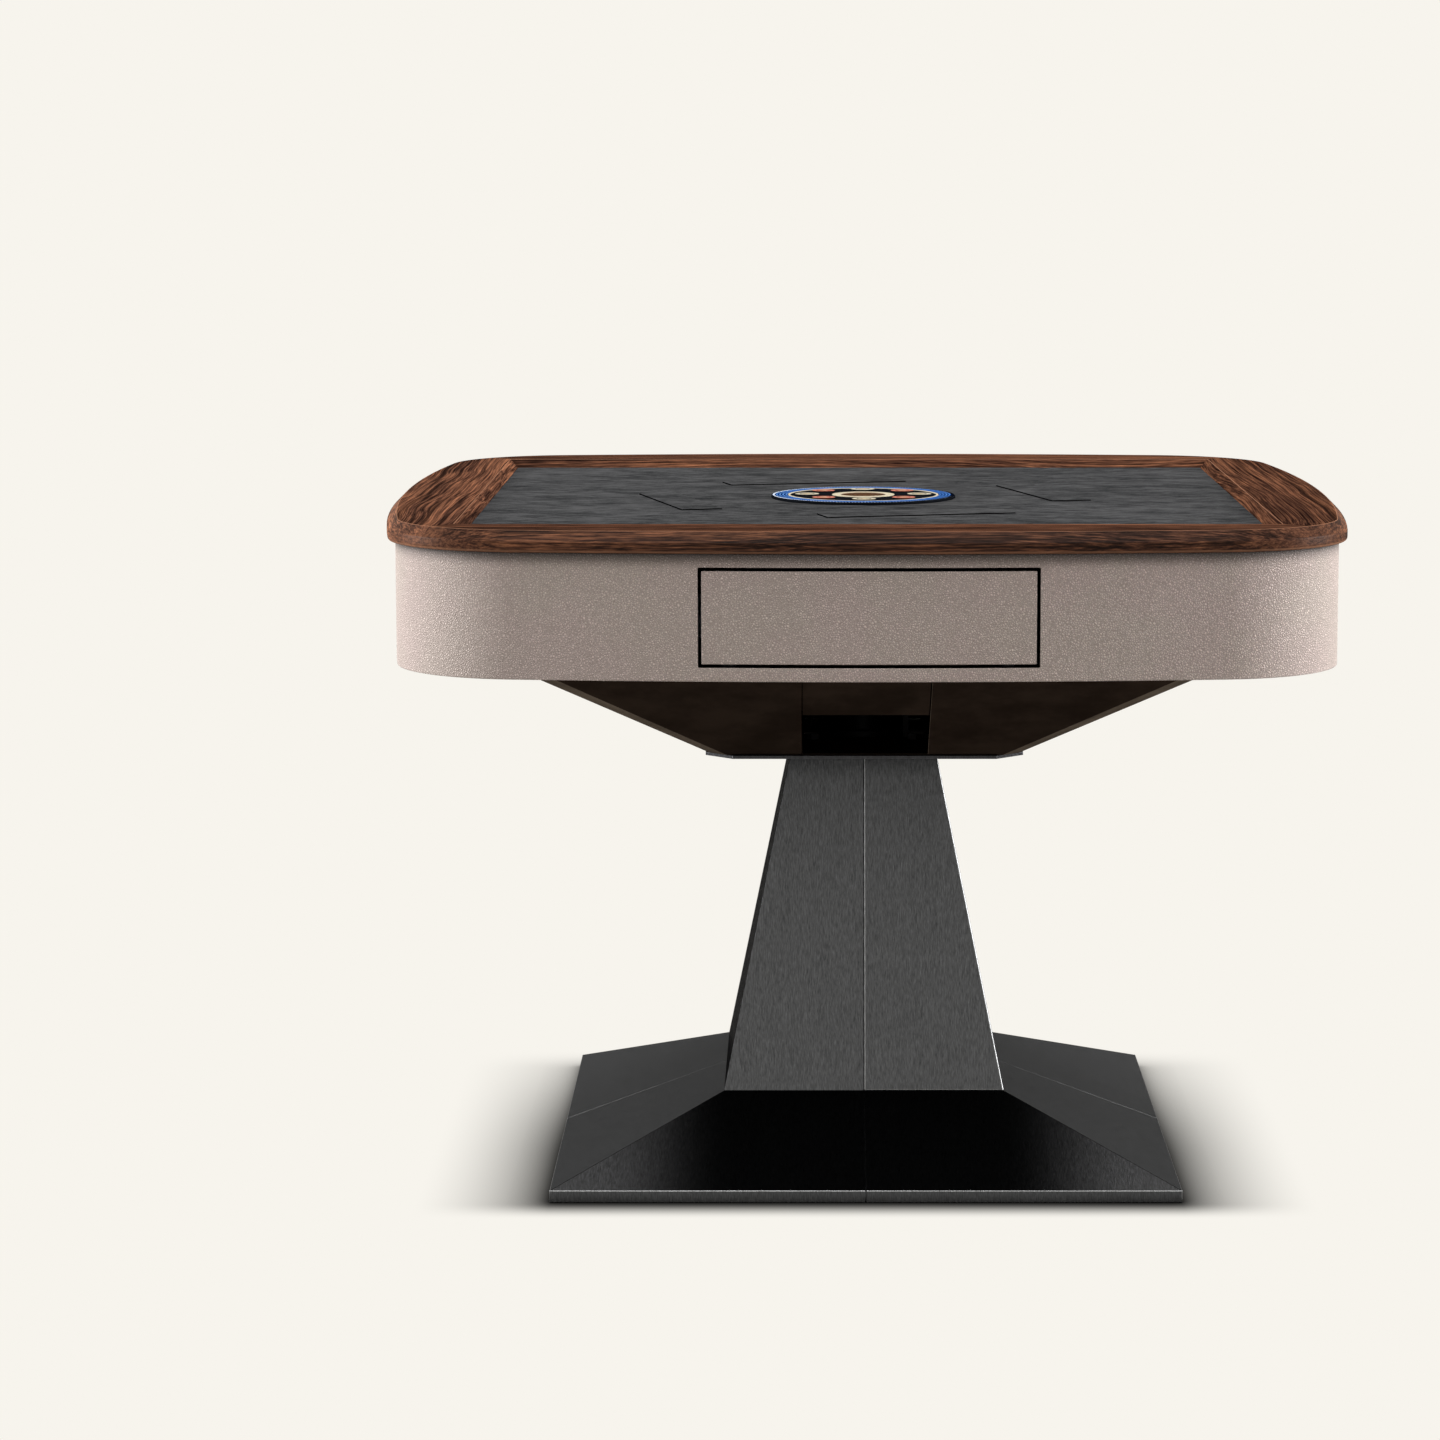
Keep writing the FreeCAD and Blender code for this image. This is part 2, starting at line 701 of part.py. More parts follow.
def add_hexagon(sketch):
    """Draw a bolt head, its flats to the sides."""
    corner = "(bolt_flats_half / cos(30))"
    points = [(f"{corner} * cos({60 * index + 30})", f"{corner} * sin({60 * index + 30})")
              for index in range(6)]
    add_polygon(sketch, points)


def add_bolt(head_level, shank_foot, nut_top, across, along):
    """One hexagon bolt, with its nut where it has one."""
    body = add_body("frame_bolt")
    shank = add_sketch(body, "XY_Plane", shank_foot)
    add_circle(shank, "0", "0", "bolt_radius")
    pad(body, shank, f"({head_level} - {shank_foot})")
    head = add_sketch(body, "XY_Plane", head_level)
    add_hexagon(head)
    pad(body, head, "bolt_head_height")
    if nut_top:
        nut = add_sketch(body, "XY_Plane", nut_top)
        add_hexagon(nut)
        pad(body, nut, "nut_height", downward=True)
    return set_place(body, across, along)


def make_frame_bolts():
    """Bolts through the pan, the plate and the post, and into the base plate."""
    bolts = []
    for across, along in ((-1, -1), (1, -1), (1, 1), (-1, 1)):
        bolts.append(add_bolt(
            HULL_FLOOR, f"({POST_HEAD_FOOT} - nut_height)", POST_HEAD_FOOT,
            f"{across} * head_bolt_place", f"{along} * head_bolt_place"))
        bolts.append(add_bolt(
            POST_FOOT_TOP, "pad_thick", "",
            f"{across} * foot_bolt_place", f"{along} * foot_bolt_place"))
    return [add_group("frame_bolts", bolts)]


# Pan: folded hull with a service opening at the front and the back.

def make_hull():
    """Inverted pan with cut corners and two service covers flush with its slopes.

    The front cover leaves the lower part of its opening free, and the back one fills it.
    """
    blank = add_body("hull_blank")
    low = add_sketch(blank, "XY_Plane", HULL_FOOT)
    add_octagon(low, "hull_foot_half", "hull_foot_corner")
    high = add_sketch(blank, "XY_Plane", SKIRT_FOOT)
    add_octagon(high, "hull_top_half", "hull_top_corner")
    loft(blank, "AdditiveLoft", low, high)
    inner_low = add_sketch(blank, "XY_Plane", HULL_FLOOR)
    add_octagon(inner_low, f"(hull_foot_half + hull_sheet * {HULL_LEAN} - {HULL_WALL})",
                "hull_foot_corner")
    inner_high = add_sketch(blank, "XY_Plane", HULL_FLANGE_FOOT)
    add_octagon(inner_high, f"(hull_top_half - hull_sheet * {HULL_LEAN} - {HULL_WALL})",
                "hull_top_corner")
    loft(blank, "SubtractiveLoft", inner_low, inner_high)
    mouth = add_sketch(blank, "XY_Plane", SKIRT_FOOT)
    add_octagon(mouth, "(hull_top_half - hull_flange)", "hull_top_corner")
    pocket(blank, mouth, "(2 * hull_sheet)")
    holes = add_sketch(blank, "XY_Plane", HULL_FLOOR)
    add_four_circles(holes, "head_bolt_place", "bolt_hole_radius")
    pocket(blank, holes, "(hull_sheet + overrun)")
    reach = "(hull_top_half + overrun)"
    opening = add_box("service_openings", ("-service_half", f"-{reach}", HULL_FLOOR),
                      ("service_half", reach, HULL_FLANGE_FOOT))
    shell = combine("Cut", "hull_shell", blank, opening)
    panels = []
    cover_half = "(service_half - service_cover_gap)"
    for quarter, foot in ((0, SERVICE_HEAD), (2, f"{HULL_FLOOR} + fit_gap")):
        span = add_turned_box(
            "service_span", (f"-{cover_half}", f"-{reach}", foot),
            (cover_half, "-post_head_half", f"{HULL_FLANGE_FOOT} - fit_gap"), quarter_angle(quarter))
        panels.append(combine("Common", "service_panel", blank, span))
    return [shell, add_group("service_covers", panels)]


# Top frame: deck, skirt and rim.

def make_deck():
    """Steel deck inside the foot of the skirt, which carries the mechanism."""
    body = add_body("mechanism_deck")
    outline = add_sketch(body, "XY_Plane", SKIRT_FOOT)
    add_outline(outline, FITTED_INSET)
    pad(body, outline, "deck_thick")
    holes = add_sketch(body, "XY_Plane")
    add_circle(holes, "0", "0", "(turntable_hub_radius + deck_hub_gap)")
    add_circle(holes, "-motor_place", "-motor_place", "(motor_shaft_radius + fit_gap)")
    box_half_length = "(inlet_box_half_length + fit_gap)"
    box_half_width = "(inlet_box_half_width + fit_gap)"
    add_rectangle(holes, f"-{box_half_length}", f"{INLET_PLACE} - {box_half_width}",
                  box_half_length, f"{INLET_PLACE} + {box_half_width}")
    pocket_through(body, holes)
    return [body]


def add_skirt_ring(label):
    """Bowed ring that the skirt and the drawer faces are cut from."""
    body = add_body(label)
    outer = add_sketch(body, "XY_Plane", SKIRT_FOOT)
    add_outline(outer, "skirt_inset")
    pad(body, outer, "skirt_height")
    inner = add_sketch(body, "XY_Plane")
    add_outline(inner, SKIRT_INNER)
    pocket_through(body, inner)
    return body


def make_skirt():
    """Leather-covered ring with a drawer opening in each side."""
    body = add_skirt_ring("skirt")
    for plane in ("XZ_Plane", "YZ_Plane"):
        window = add_sketch(body, plane)
        half = "(drawer_half + drawer_gap)"
        add_rectangle(window, f"-{half}", f"{DRAWER_FOOT} - drawer_gap", half,
                      f"{DRAWER_TOP} + drawer_gap")
        pocket_through(body, window)
    return [body]


def make_rim():
    """Walnut rim with a ledge under the board, mitred into four rails."""
    blank = add_body("rim_blank")
    outer = add_sketch(blank, "XY_Plane", RIM_FOOT)
    add_outline(outer, "0")
    pad(blank, outer, "rim_height")
    ledge = add_sketch(blank, "XY_Plane", RIM_FOOT)
    add_outline(ledge, FITTED_INSET)
    pad(blank, ledge, f"({RIM_FOOT} - {LEDGE_FOOT})", downward=True)
    opening = add_sketch(blank, "XY_Plane", "table_height")
    add_square(opening, FELT_HALF)
    pocket(blank, opening, f"(table_height - {BOARD_FOOT})")
    mouth = add_sketch(blank, "XY_Plane")
    add_square(mouth, f"({FELT_HALF} - rim_ledge_width)")
    base = pocket_through(blank, mouth)
    top = value("table_height")
    foot = value(RIM_FOOT)
    outline_radii = (value("side_radius"), value("corner_radius"))
    near = value("overrun") / 1000
    base = dress_edges(blank, "Chamfer", base, "rim_chamfer",
                       lambda edge: is_level(edge, top) and hasattr(edge.Curve, "Radius"))
    base = dress_edges(blank, "Chamfer", base, "rim_bevel",
                       lambda edge: is_level(edge, top) and not hasattr(edge.Curve, "Radius"))
    dress_edges(blank, "Fillet", base, "rim_foot_round",
                lambda edge: is_level(edge, foot) and hasattr(edge.Curve, "Radius")
                and any(abs(edge.Curve.Radius - radius) < near for radius in outline_radii))
    rails = []
    reach = "(2 * top_half)"
    for quarter, side in zip(QUARTERS, ("right", "back", "left", "front")):
        sector = add_turned_box("rim_sector", ("0", "0", "0"), (reach, reach, "2 * table_height"),
                                f"{quarter * QUARTER_TURN - HALF_QUARTER}")
        rails.append(combine("Common", "rim_" + side, blank, sector))
    return rails


# Playing surface: board, felt and ramp hatches.

def add_panel(label, foot, thick):
    """Square panel with the console's hole and the four turned hatch slots."""
    body = add_body(label)
    outline = add_sketch(body, "XY_Plane", foot)
    add_square(outline, f"({FELT_HALF} - fit_gap)")
    pad(body, outline, thick)
    hole = add_sketch(body, "XY_Plane")
    add_circle(hole, "0", "0", "console_hole_radius")
    pocket_through(body, hole)
    slot = add_sketch(body, "XY_Plane", turn="hatch_turn")
    add_rectangle(slot, "slot_inner", "-slot_half_length", SLOT_OUTER, "slot_half_length")
    repeat_round(body, pocket_through(body, slot), "Z_Axis", "4")
    return body


def make_playing_surface():
    """Board bored for the hatch pins, and the felt glued to it."""
    pins = []
    for quarter in QUARTERS:
        pin = add_body("hatch_pin")
        section = add_sketch(pin, "YZ_Plane", "(slot_inner - hatch_pin_seat)")
        add_circle(section, HATCH_PIN_PLACE, HATCH_PIN_LEVEL, "hatch_pin_radius")
        pad(pin, section, "(slot_width + 2 * hatch_pin_seat)")
        pins.append(turn_about_centre(pin, f"hatch_turn + {quarter_angle(quarter)}"))
    hatch_pins = add_group("hatch_pins", pins)
    board = add_panel("board_blank", BOARD_FOOT, "board_thick")
    felt = add_panel("felt_mat", BOARD_TOP, "felt_thick")
    return [combine("Cut", "tabletop_board", board, hatch_pins), felt, hatch_pins]


def make_hatch_lids():
    """Four felt-topped lids, each on a pin at one end, that drop into ramps."""
    lids = []
    for quarter, side in zip(QUARTERS, ("right", "back", "left", "front")):
        lid = add_body("hatch_lid_" + side)
        near_end = "(hatch_gap - slot_half_length)"
        section = add_sketch(lid, "YZ_Plane", "(slot_inner + hatch_gap)")
        add_rectangle(section, near_end, LID_FOOT, f"-{near_end}", FELT_TOP)
        slab = pad(lid, section, "(slot_width - 2 * hatch_gap)")
        foot = value(LID_FOOT)
        end = value(near_end)
        near = value("overrun") / 1000
        dress_edges(lid, "Fillet", slab, "knuckle_radius",
                    lambda edge: is_level(edge, foot) and abs(edge.CenterOfMass.y - end) < near)
        bore = add_sketch(lid, "YZ_Plane")
        add_circle(bore, HATCH_PIN_PLACE, HATCH_PIN_LEVEL, "(hatch_pin_radius + spin_gap)")
        pocket_through(lid, bore)
        lids.append(turn_about_centre(lid, f"hatch_turn + {quarter_angle(quarter)}"))
    return lids


def make_tile_beds():
    """Beds on webs that end level with the low end of each open hatch."""
    beds = []
    start = "(slot_half_length + bed_gap)"
    middle = "(slot_inner + slot_width / 2)"
    for quarter in QUARTERS:
        bed = add_body("tile_bed")
        plank = add_sketch(bed, "XY_Plane", BED_TOP)
        add_rectangle(plank, "slot_inner", start, SLOT_OUTER, BED_END)
        pad(bed, plank, "bed_thick", downward=True)
        web = add_sketch(bed, "XY_Plane", DECK_TOP)
        add_rectangle(web, f"{middle} - bed_web_thick / 2", f"{start} + bed_web_setback",
                      f"{middle} + bed_web_thick / 2", f"{BED_END} - bed_thick")
        pad(bed, web, f"({BED_TOP} - bed_thick - {DECK_TOP})")
        beds.append(turn_about_centre(bed, f"hatch_turn + {quarter_angle(quarter)}"))
    return [add_group("tile_beds", beds)]


# Drawers: a face cut from the skirt's ring, a tray behind it and two runners.

def make_drawers():
    """A drawer in the middle of each side."""
    ring = add_skirt_ring("drawer_ring_blank")
    core = add_body("drawer_core_blank")
    section = add_sketch(core, "XY_Plane")
    add_outline(section, SKIRT_INNER)
    pad(core, section, "table_height")
    parts = []
    reach = "(top_half + overrun)"
    for quarter, side in zip(QUARTERS, ("front", "right", "back", "left")):
        angle = quarter_angle(quarter)
        face_span = add_turned_box(
            "face_span", ("-drawer_half", f"-{reach}", DRAWER_FOOT),
            ("drawer_half", "-tray_inner_end", DRAWER_TOP), angle)
        parts.append(combine("Common", "drawer_face_" + side, ring, face_span))
        tray_span = add_turned_box(
            "tray_span", ("-tray_half", f"-{reach}", TRAY_FOOT),
            ("tray_half", "-tray_inner_end", TRAY_TOP), angle)
        block = combine("Common", "tray_block_" + side, core, tray_span)
        hollow = add_turned_box(
            "tray_hollow",
            ("tray_wall - tray_half", f"{SKIRT_INNER} + tray_front - top_half",
             f"{TRAY_FOOT} + tray_wall"),
            ("tray_half - tray_wall", "-(tray_inner_end + tray_wall)", f"{TRAY_TOP} + overrun"),
            angle)
        parts.append(combine("Cut", "drawer_tray_" + side, block, hollow))
    return parts


def make_drawer_runners():
    """Angle rails on the deck, one under each side of each tray."""
    rails = []
    length = f"(top_half - {SKIRT_INNER} - tray_inner_end - 2 * runner_setback)"
    for quarter in QUARTERS:
        for side in ("", "-"):
            rail = add_body("drawer_runner")
            section = add_sketch(rail, "XZ_Plane", "(tray_inner_end + runner_setback)")
            inner = f"{side}(tray_half - runner_lap)"
            guard = f"{side}(tray_half + fit_gap)"
            outer = f"{side}(tray_half + fit_gap + runner_thick)"
            add_polygon(section, [
                (inner, DECK_TOP), (outer, DECK_TOP), (outer, f"{RUNNER_TOP} + runner_guard"),
                (guard, f"{RUNNER_TOP} + runner_guard"), (guard, RUNNER_TOP), (inner, RUNNER_TOP)])
            pad(rail, section, length)
            rails.append(turn_about_centre(rail, quarter_angle(quarter)))
    return [add_group("drawer_runners", rails)]


# Tile drum under the board.

def make_tile_tub():
    """Round wall that keeps the loose tiles over the turntable."""
    body = add_body("tile_tub")
    outer = "(tub_radius + tub_wall)"
    flange = f"({outer} + tub_flange)"
    top = f"({DECK_TOP} + tub_height)"
    flange_top = f"{DECK_TOP} + tub_flange_thick"
    revolve(body, [("tub_radius", DECK_TOP), (flange, DECK_TOP), (flange, flange_top),
                   (outer, flange_top), (outer, top), ("tub_radius", top)])
    return [body]


def make_turntable():
    """Ribbed disc on a hub, with the belt wheel under the deck."""
    body = add_body("turntable")
    bore = "(guide_radius + fit_gap)"
    revolve(body, [
        (bore, PULLEY_FOOT), ("drum_wheel_radius", PULLEY_FOOT), ("drum_wheel_radius", PULLEY_TOP),
        ("turntable_hub_radius", PULLEY_TOP), ("turntable_hub_radius", TURNTABLE_FOOT),
        ("turntable_radius", TURNTABLE_FOOT), ("turntable_radius", TURNTABLE_TOP),
        ("turntable_hub_radius", TURNTABLE_TOP), ("turntable_hub_radius", HUB_TOP), (bore, HUB_TOP)])
    rib = add_sketch(body, "XY_Plane", TURNTABLE_TOP)
    add_rectangle(rib, "turntable_hub_radius + turntable_rib_margin", "-turntable_rib_width / 2",
                  "turntable_radius - turntable_rib_margin", "turntable_rib_width / 2")
    repeat_round(body, pad(body, rib, "turntable_rib_height"), "Z_Axis", "turntable_ribs")
    return [body]


def make_drum_drive():
    """Motor on the deck, its pulley under the deck and the belt to the turntable."""
    motor = add_body("drum_motor")
    bore = "(motor_shaft_radius + spin_gap)"
    bore_top = f"{DECK_TOP} + motor_shaft_reach"
    flange = "(motor_radius + motor_flange)"
    flange_top = f"{DECK_TOP} + motor_flange_thick"
    top = f"{DECK_TOP} + motor_height"
    revolve(motor, [(bore, DECK_TOP), (flange, DECK_TOP), (flange, flange_top),
                    ("motor_radius", flange_top), ("motor_radius", top), ("0", top),
                    ("0", bore_top), (bore, bore_top)])
    set_place(motor, "-motor_place", "-motor_place")
    pulley = add_body("drum_pulley")
    lip = "(motor_pulley_radius + pulley_lip)"
    revolve(pulley, [
        ("0", PULLEY_FOOT), (lip, PULLEY_FOOT), (lip, f"{PULLEY_FOOT} + pulley_lip_thick"),
        ("motor_pulley_radius", f"{PULLEY_FOOT} + pulley_lip_thick"),
        ("motor_pulley_radius", f"{PULLEY_TOP} - pulley_lip_thick"),
        (lip, f"{PULLEY_TOP} - pulley_lip_thick"), (lip, PULLEY_TOP),
        ("motor_shaft_radius", PULLEY_TOP), ("motor_shaft_radius", f"{bore_top} - fit_gap"),
        ("0", f"{bore_top} - fit_gap")])
    set_place(pulley, "-motor_place", "-motor_place")
    belt = add_body("drive_belt")
    section = add_sketch(belt, "XY_Plane", f"{PULLEY_FOOT} + pulley_lip_thick + fit_gap")
    add_belt_loop(section, "fit_gap")
    add_belt_loop(section, "(fit_gap + belt_thick)")
    pad(belt, section, "(pulley_width - 2 * (pulley_lip_thick + fit_gap))")
    turn_about_centre(belt, f"{2 * QUARTER_TURN + HALF_QUARTER}")
    return [motor, pulley, belt]


def add_belt_loop(sketch, outset):
    """Draw two arcs round the pulleys and the two straight runs between them."""
    big, small = f"(drum_wheel_radius + {outset})", f"(motor_pulley_radius + {outset})"
    distance = value(MOTOR_DISTANCE)
    wrap = FreeCAD.Units.Quantity(
        f"{value(f'acos((drum_wheel_radius - motor_pulley_radius) / {MOTOR_DISTANCE})')} deg")
    lean = wrap.getValueAs("rad").Value
    axis = FreeCAD.Vector(0, 0, 1)
    centres = (FreeCAD.Vector(0, 0, 0), FreeCAD.Vector(distance, 0, 0))
    big_arc = Part.ArcOfCircle(Part.Circle(centres[0], axis, value(big)), lean, -lean)
    small_arc = Part.ArcOfCircle(Part.Circle(centres[1], axis, value(small)), -lean, lean)
    lower = Part.LineSegment(big_arc.EndPoint, small_arc.StartPoint)
    upper = Part.LineSegment(small_arc.EndPoint, big_arc.StartPoint)
    loop = [sketch.addGeometry(shape, False) for shape in (big_arc, lower, small_arc, upper)]
    bind_point(sketch, loop[0], 3, "0", "0")
    bind_point(sketch, loop[2], 3, MOTOR_DISTANCE, "0")
    bind_radius(sketch, loop[0], big)
    bind_radius(sketch, loop[2], small)
    for index, shape in enumerate(loop):
        following = loop[(index + 1) % len(loop)]
        sketch.addConstraint(Sketcher.Constraint("Tangent", shape, 2, following, 1))


# Console lift: a rack cut into the post, driven by a pinion.

def make_lift_guide():
    """Flanged tube that the post slides in and the turntable turns on."""
    body = add_body("lift_guide")
    bore = "(lift_post_radius + slide_gap)"
    flange_top = f"{HULL_FLOOR} + guide_flange_thick"
    revolve(body, [
        (bore, HULL_FLOOR), ("guide_flange_radius", HULL_FLOOR), ("guide_flange_radius", flange_top),
        ("guide_radius", flange_top), ("guide_radius", COLLAR_FOOT),
        ("guide_collar_radius", COLLAR_FOOT), ("guide_collar_radius", COLLAR_TOP),
        ("guide_radius", COLLAR_TOP), ("guide_radius", GUIDE_TOP), (bore, GUIDE_TOP)])
    window = add_sketch(body, "XZ_Plane")
    half_width = "(pinion_width / 2 + pinion_window_gap)"
    half_height = f"({PINION_PITCH_RADIUS} + gear_module + pinion_window_gap)"
    add_rectangle(window, f"-{half_width}", f"{PINION_LEVEL} - {half_height}",
                  half_width, f"{PINION_LEVEL} + {half_height}")
    pocket(body, window, "(guide_radius + overrun)", backward=True)
    return [body]


def make_lift_post():
    """Round post with a flat and rack teeth, and a head under the console."""
    body = add_body("lift_post")
    foot = f"{HULL_FLOOR} + lift_post_floor_gap"
    revolve(body, [
        ("0", foot), ("lift_post_radius", foot), ("lift_post_radius", LIFT_HEAD_FOOT),
        ("lift_head_radius", LIFT_HEAD_FOOT), ("lift_head_radius", HOUSING_FOOT),
        ("0", HOUSING_FOOT)])
    lowest = f"({PINION_LEVEL} - (rack_gaps - 1 - rack_gaps_above) * {PITCH})"
    highest = f"({PINION_LEVEL} + rack_gaps_above * {PITCH})"
    flat = add_sketch(body, "YZ_Plane")
    add_rectangle(flat, "-(lift_post_radius + overrun)", f"{foot} - overrun", "-rack_tip",
                  f"{highest} + {PITCH} / 2")
    pocket_through(body, flat)
    gap_middle = f"({PITCH} / 4 + gear_backlash / 2)"
    flank = f"tan({PRESSURE_ANGLE})"
    root_half = f"({gap_middle} - {TOOTH_DEPTH_SHARE} * gear_module * {flank})"
    tip_half = f"({gap_middle} + gear_module * {flank})"
    root = f"(rack_tip - gear_module - {TOOTH_DEPTH_SHARE} * gear_module)"
    gap = add_sketch(body, "YZ_Plane")
    add_polygon(gap, [
        ("-rack_tip", f"{lowest} - {tip_half}"), (f"-{root}", f"{lowest} - {root_half}"),
        (f"-{root}", f"{lowest} + {root_half}"), ("-rack_tip", f"{lowest} + {tip_half}")])
    first_gap = pocket_through(body, gap)
    rack = body.newObject("PartDesign::LinearPattern", "rack_gaps")
    rack.Originals = [first_gap]
    rack.Direction = (origin_feature(body, "Z_Axis"), [""])
    rack.setExpression("Length", bound(f"(rack_gaps - 1) * {PITCH}"))
    rack.setExpression("Occurrences", bound("rack_gaps"))
    body.Tip = rack
    return [body]


def make_lift_pinion():
    """Toothed wheel on its shaft, a tooth pointing into the rack."""
    body = add_body("lift_pinion")
    root = f"({PINION_PITCH_RADIUS} - {TOOTH_DEPTH_SHARE} * gear_module)"
    blank = add_sketch(body, "YZ_Plane")
    add_circle(blank, "0", "0", root)
    pad_both_ways(body, blank, "pinion_width")
    shaft = add_sketch(body, "YZ_Plane", f"-(pinion_width / 2 + pinion_shaft_radius)")
    add_circle(shaft, "0", "0", "pinion_shaft_radius")
    pad(body, shaft, "(pinion_shaft_reach + pinion_width / 2 + pinion_shaft_radius)")
    tooth = add_sketch(body, "YZ_Plane")
    root_half = f"({TOOTH_ROOT_SHARE} * gear_module)"
    tip_half = f"({TOOTH_TIP_SHARE} * gear_module)"
    pitch_half = f"({PITCH} / 4 - gear_backlash / 2)"
    inner = f"({root} - gear_module / 2)"
    tip = f"({PINION_PITCH_RADIUS} + gear_module)"
    add_polygon(tooth, [
        (inner, f"-{root_half}"), (root, f"-{root_half}"), (PINION_PITCH_RADIUS, f"-{pitch_half}"),
        (tip, f"-{tip_half}"), (tip, tip_half), (PINION_PITCH_RADIUS, pitch_half),
        (root, root_half), (inner, root_half)])
    first_tooth = pad_both_ways(body, tooth, "pinion_width")
    repeat_round(body, first_tooth, "X_Axis", "pinion_teeth")
    return [set_place(body, "0", f"-{PINION_PLACE}", PINION_LEVEL)]


def make_lift_motor():
    """Geared motor beside the guide on an angle bracket."""
    body = add_body("lift_motor")
    low, high = f"-{PINION_PLACE} - lift_motor_radius", f"-{PINION_PLACE} + lift_motor_radius"
    bracket = add_sketch(body, "YZ_Plane", "lift_motor_start")
    add_rectangle(bracket, low, HULL_FLOOR, high, PINION_LEVEL)
    pad(body, bracket, "lift_bracket_thick")
    foot = add_sketch(body, "XY_Plane", HULL_FLOOR)
    add_rectangle(foot, "lift_motor_start", low, "lift_motor_start + lift_foot_length", high)
    pad(body, foot, "lift_foot_thick")
    can = add_sketch(body, "YZ_Plane", "lift_motor_start")
    add_circle(can, f"-{PINION_PLACE}", PINION_LEVEL, "lift_motor_radius")
    pad(body, can, "(lift_bracket_thick + lift_motor_length)")
    bore = add_sketch(body, "YZ_Plane", "(pinion_shaft_reach + fit_gap)")
    add_circle(bore, f"-{PINION_PLACE}", PINION_LEVEL, "(pinion_shaft_radius + spin_gap)")
    pocket(body, bore, "(pinion_shaft_reach + fit_gap)")
    return [body]


# Console on top of the post.

def make_console_housing():
    """Round tub of the console, with the dice chamber and the shaft boss."""
    body = add_body("console_housing")
    bore = "(dice_shaft_radius + spin_gap)"
    boss = f"({bore} + dice_boss_wall)"
    boss_top = f"{HOUSING_FLOOR} + dice_boss_height"
    inner = "(housing_radius - housing_wall)"
    revolve(body, [
        (bore, HOUSING_FOOT), ("housing_radius", HOUSING_FOOT), ("housing_radius", COVER_FOOT),
        (inner, COVER_FOOT), (inner, HOUSING_FLOOR), (WINDOW_RADIUS, HOUSING_FLOOR),
        (WINDOW_RADIUS, COVER_FOOT), ("chamber_radius", COVER_FOOT),
        ("chamber_radius", HOUSING_FLOOR), (boss, HOUSING_FLOOR), (boss, boss_top), (bore, boss_top)])
    return [body]


def make_console_cover():
    """Disc with a hole for each button and for the dice window."""
    body = add_body("console_cover")
    rim_level = f"{CONSOLE_TOP} - console_cover_chamfer"
    revolve(body, [
        (WINDOW_RADIUS, COVER_FOOT), ("console_radius", COVER_FOOT), ("console_radius", rim_level),
        ("console_radius - console_cover_chamfer", CONSOLE_TOP), (WINDOW_RADIUS, CONSOLE_TOP)])
    for radius, angle in (("seat_button_radius", 0), ("round_button_radius", HALF_QUARTER)):
        hole = add_sketch(body, "XY_Plane", turn=f"{angle}")
        add_circle(hole, "button_circle", "0", f"({radius} + button_gap)")
        repeat_round(body, pocket_through(body, hole), "Z_Axis", "4")
    return [body]


def make_dice_window():
    """Clear pane over the dice chamber, resting on its wall."""
    body = add_body("dice_window")
    outer = f"({WINDOW_RADIUS} - fit_gap)"
    revolve(body, [("0", COVER_FOOT), (outer, COVER_FOOT), (outer, CONSOLE_TOP),
                   (f"{outer} - window_chamfer", f"{CONSOLE_TOP} + window_chamfer"),
                   ("0", f"{CONSOLE_TOP} + window_chamfer")])
    return [body]


def make_dice_table():
    """Turning plate under the window, and the two dice that lie on it."""
    plate = add_body("dice_plate")
    outer = "(chamber_radius - fit_gap)"
    plate_foot = f"{DICE_PLATE_TOP} - dice_plate_thick"
    shaft_foot = f"{HOUSING_FOOT} + fit_gap"
    revolve(plate, [("0", shaft_foot), ("dice_shaft_radius", shaft_foot),
                    ("dice_shaft_radius", plate_foot), (outer, plate_foot),
                    (outer, DICE_PLATE_TOP), ("0", DICE_PLATE_TOP)])
    dice = []
    for side in ("", "-"):
        die = add_body("die")
        face = add_sketch(die, "XY_Plane")
        add_square(face, "(dice_side / 2)")
        block = pad(die, face, "dice_side")
        dress_edges(die, "Fillet", block, "dice_round", lambda edge: True)
        set_place(die, f"{side}dice_reach * cos(dice_heading)",
                  f"{side}dice_reach * sin(dice_heading)", DICE_PLATE_TOP)
        dice.append(turn_about_centre(die, "dice_heading"))
    return [plate, add_group("dice", dice)]


def make_buttons():
    """Eight caps held under the cover by their lips, one pair to each player."""
    buttons = []
    cap_top = f"({CONSOLE_TOP} + button_rise)"
    lip_top = f"({COVER_FOOT} - fit_gap)"
    lip_foot = f"({lip_top} - button_lip_thick)"
    seats = ("right", "back", "left", "front")
    corners = ("back_right", "back_left", "front_left", "front_right")
    sets = (("seat_button_", seats, "seat_button_radius", 0),
            ("corner_button_", corners, "round_button_radius", HALF_QUARTER))
    for prefix, names, radius, start in sets:
        for quarter, name in zip(QUARTERS, names):
            body = add_body(prefix + name)
            angle = start + quarter * QUARTER_TURN
            lip = f"({radius} + button_lip)"
            revolve(body, [
                ("0", lip_foot), (lip, lip_foot), (lip, lip_top), (radius, lip_top),
                (radius, f"{cap_top} - button_chamfer"), (f"{radius} - button_chamfer", cap_top),
                ("0", cap_top)])
            buttons.append(set_place(
                body, f"button_circle * cos({angle})", f"button_circle * sin({angle})"))
    return buttons


# Mains inlet and switch under the deck.

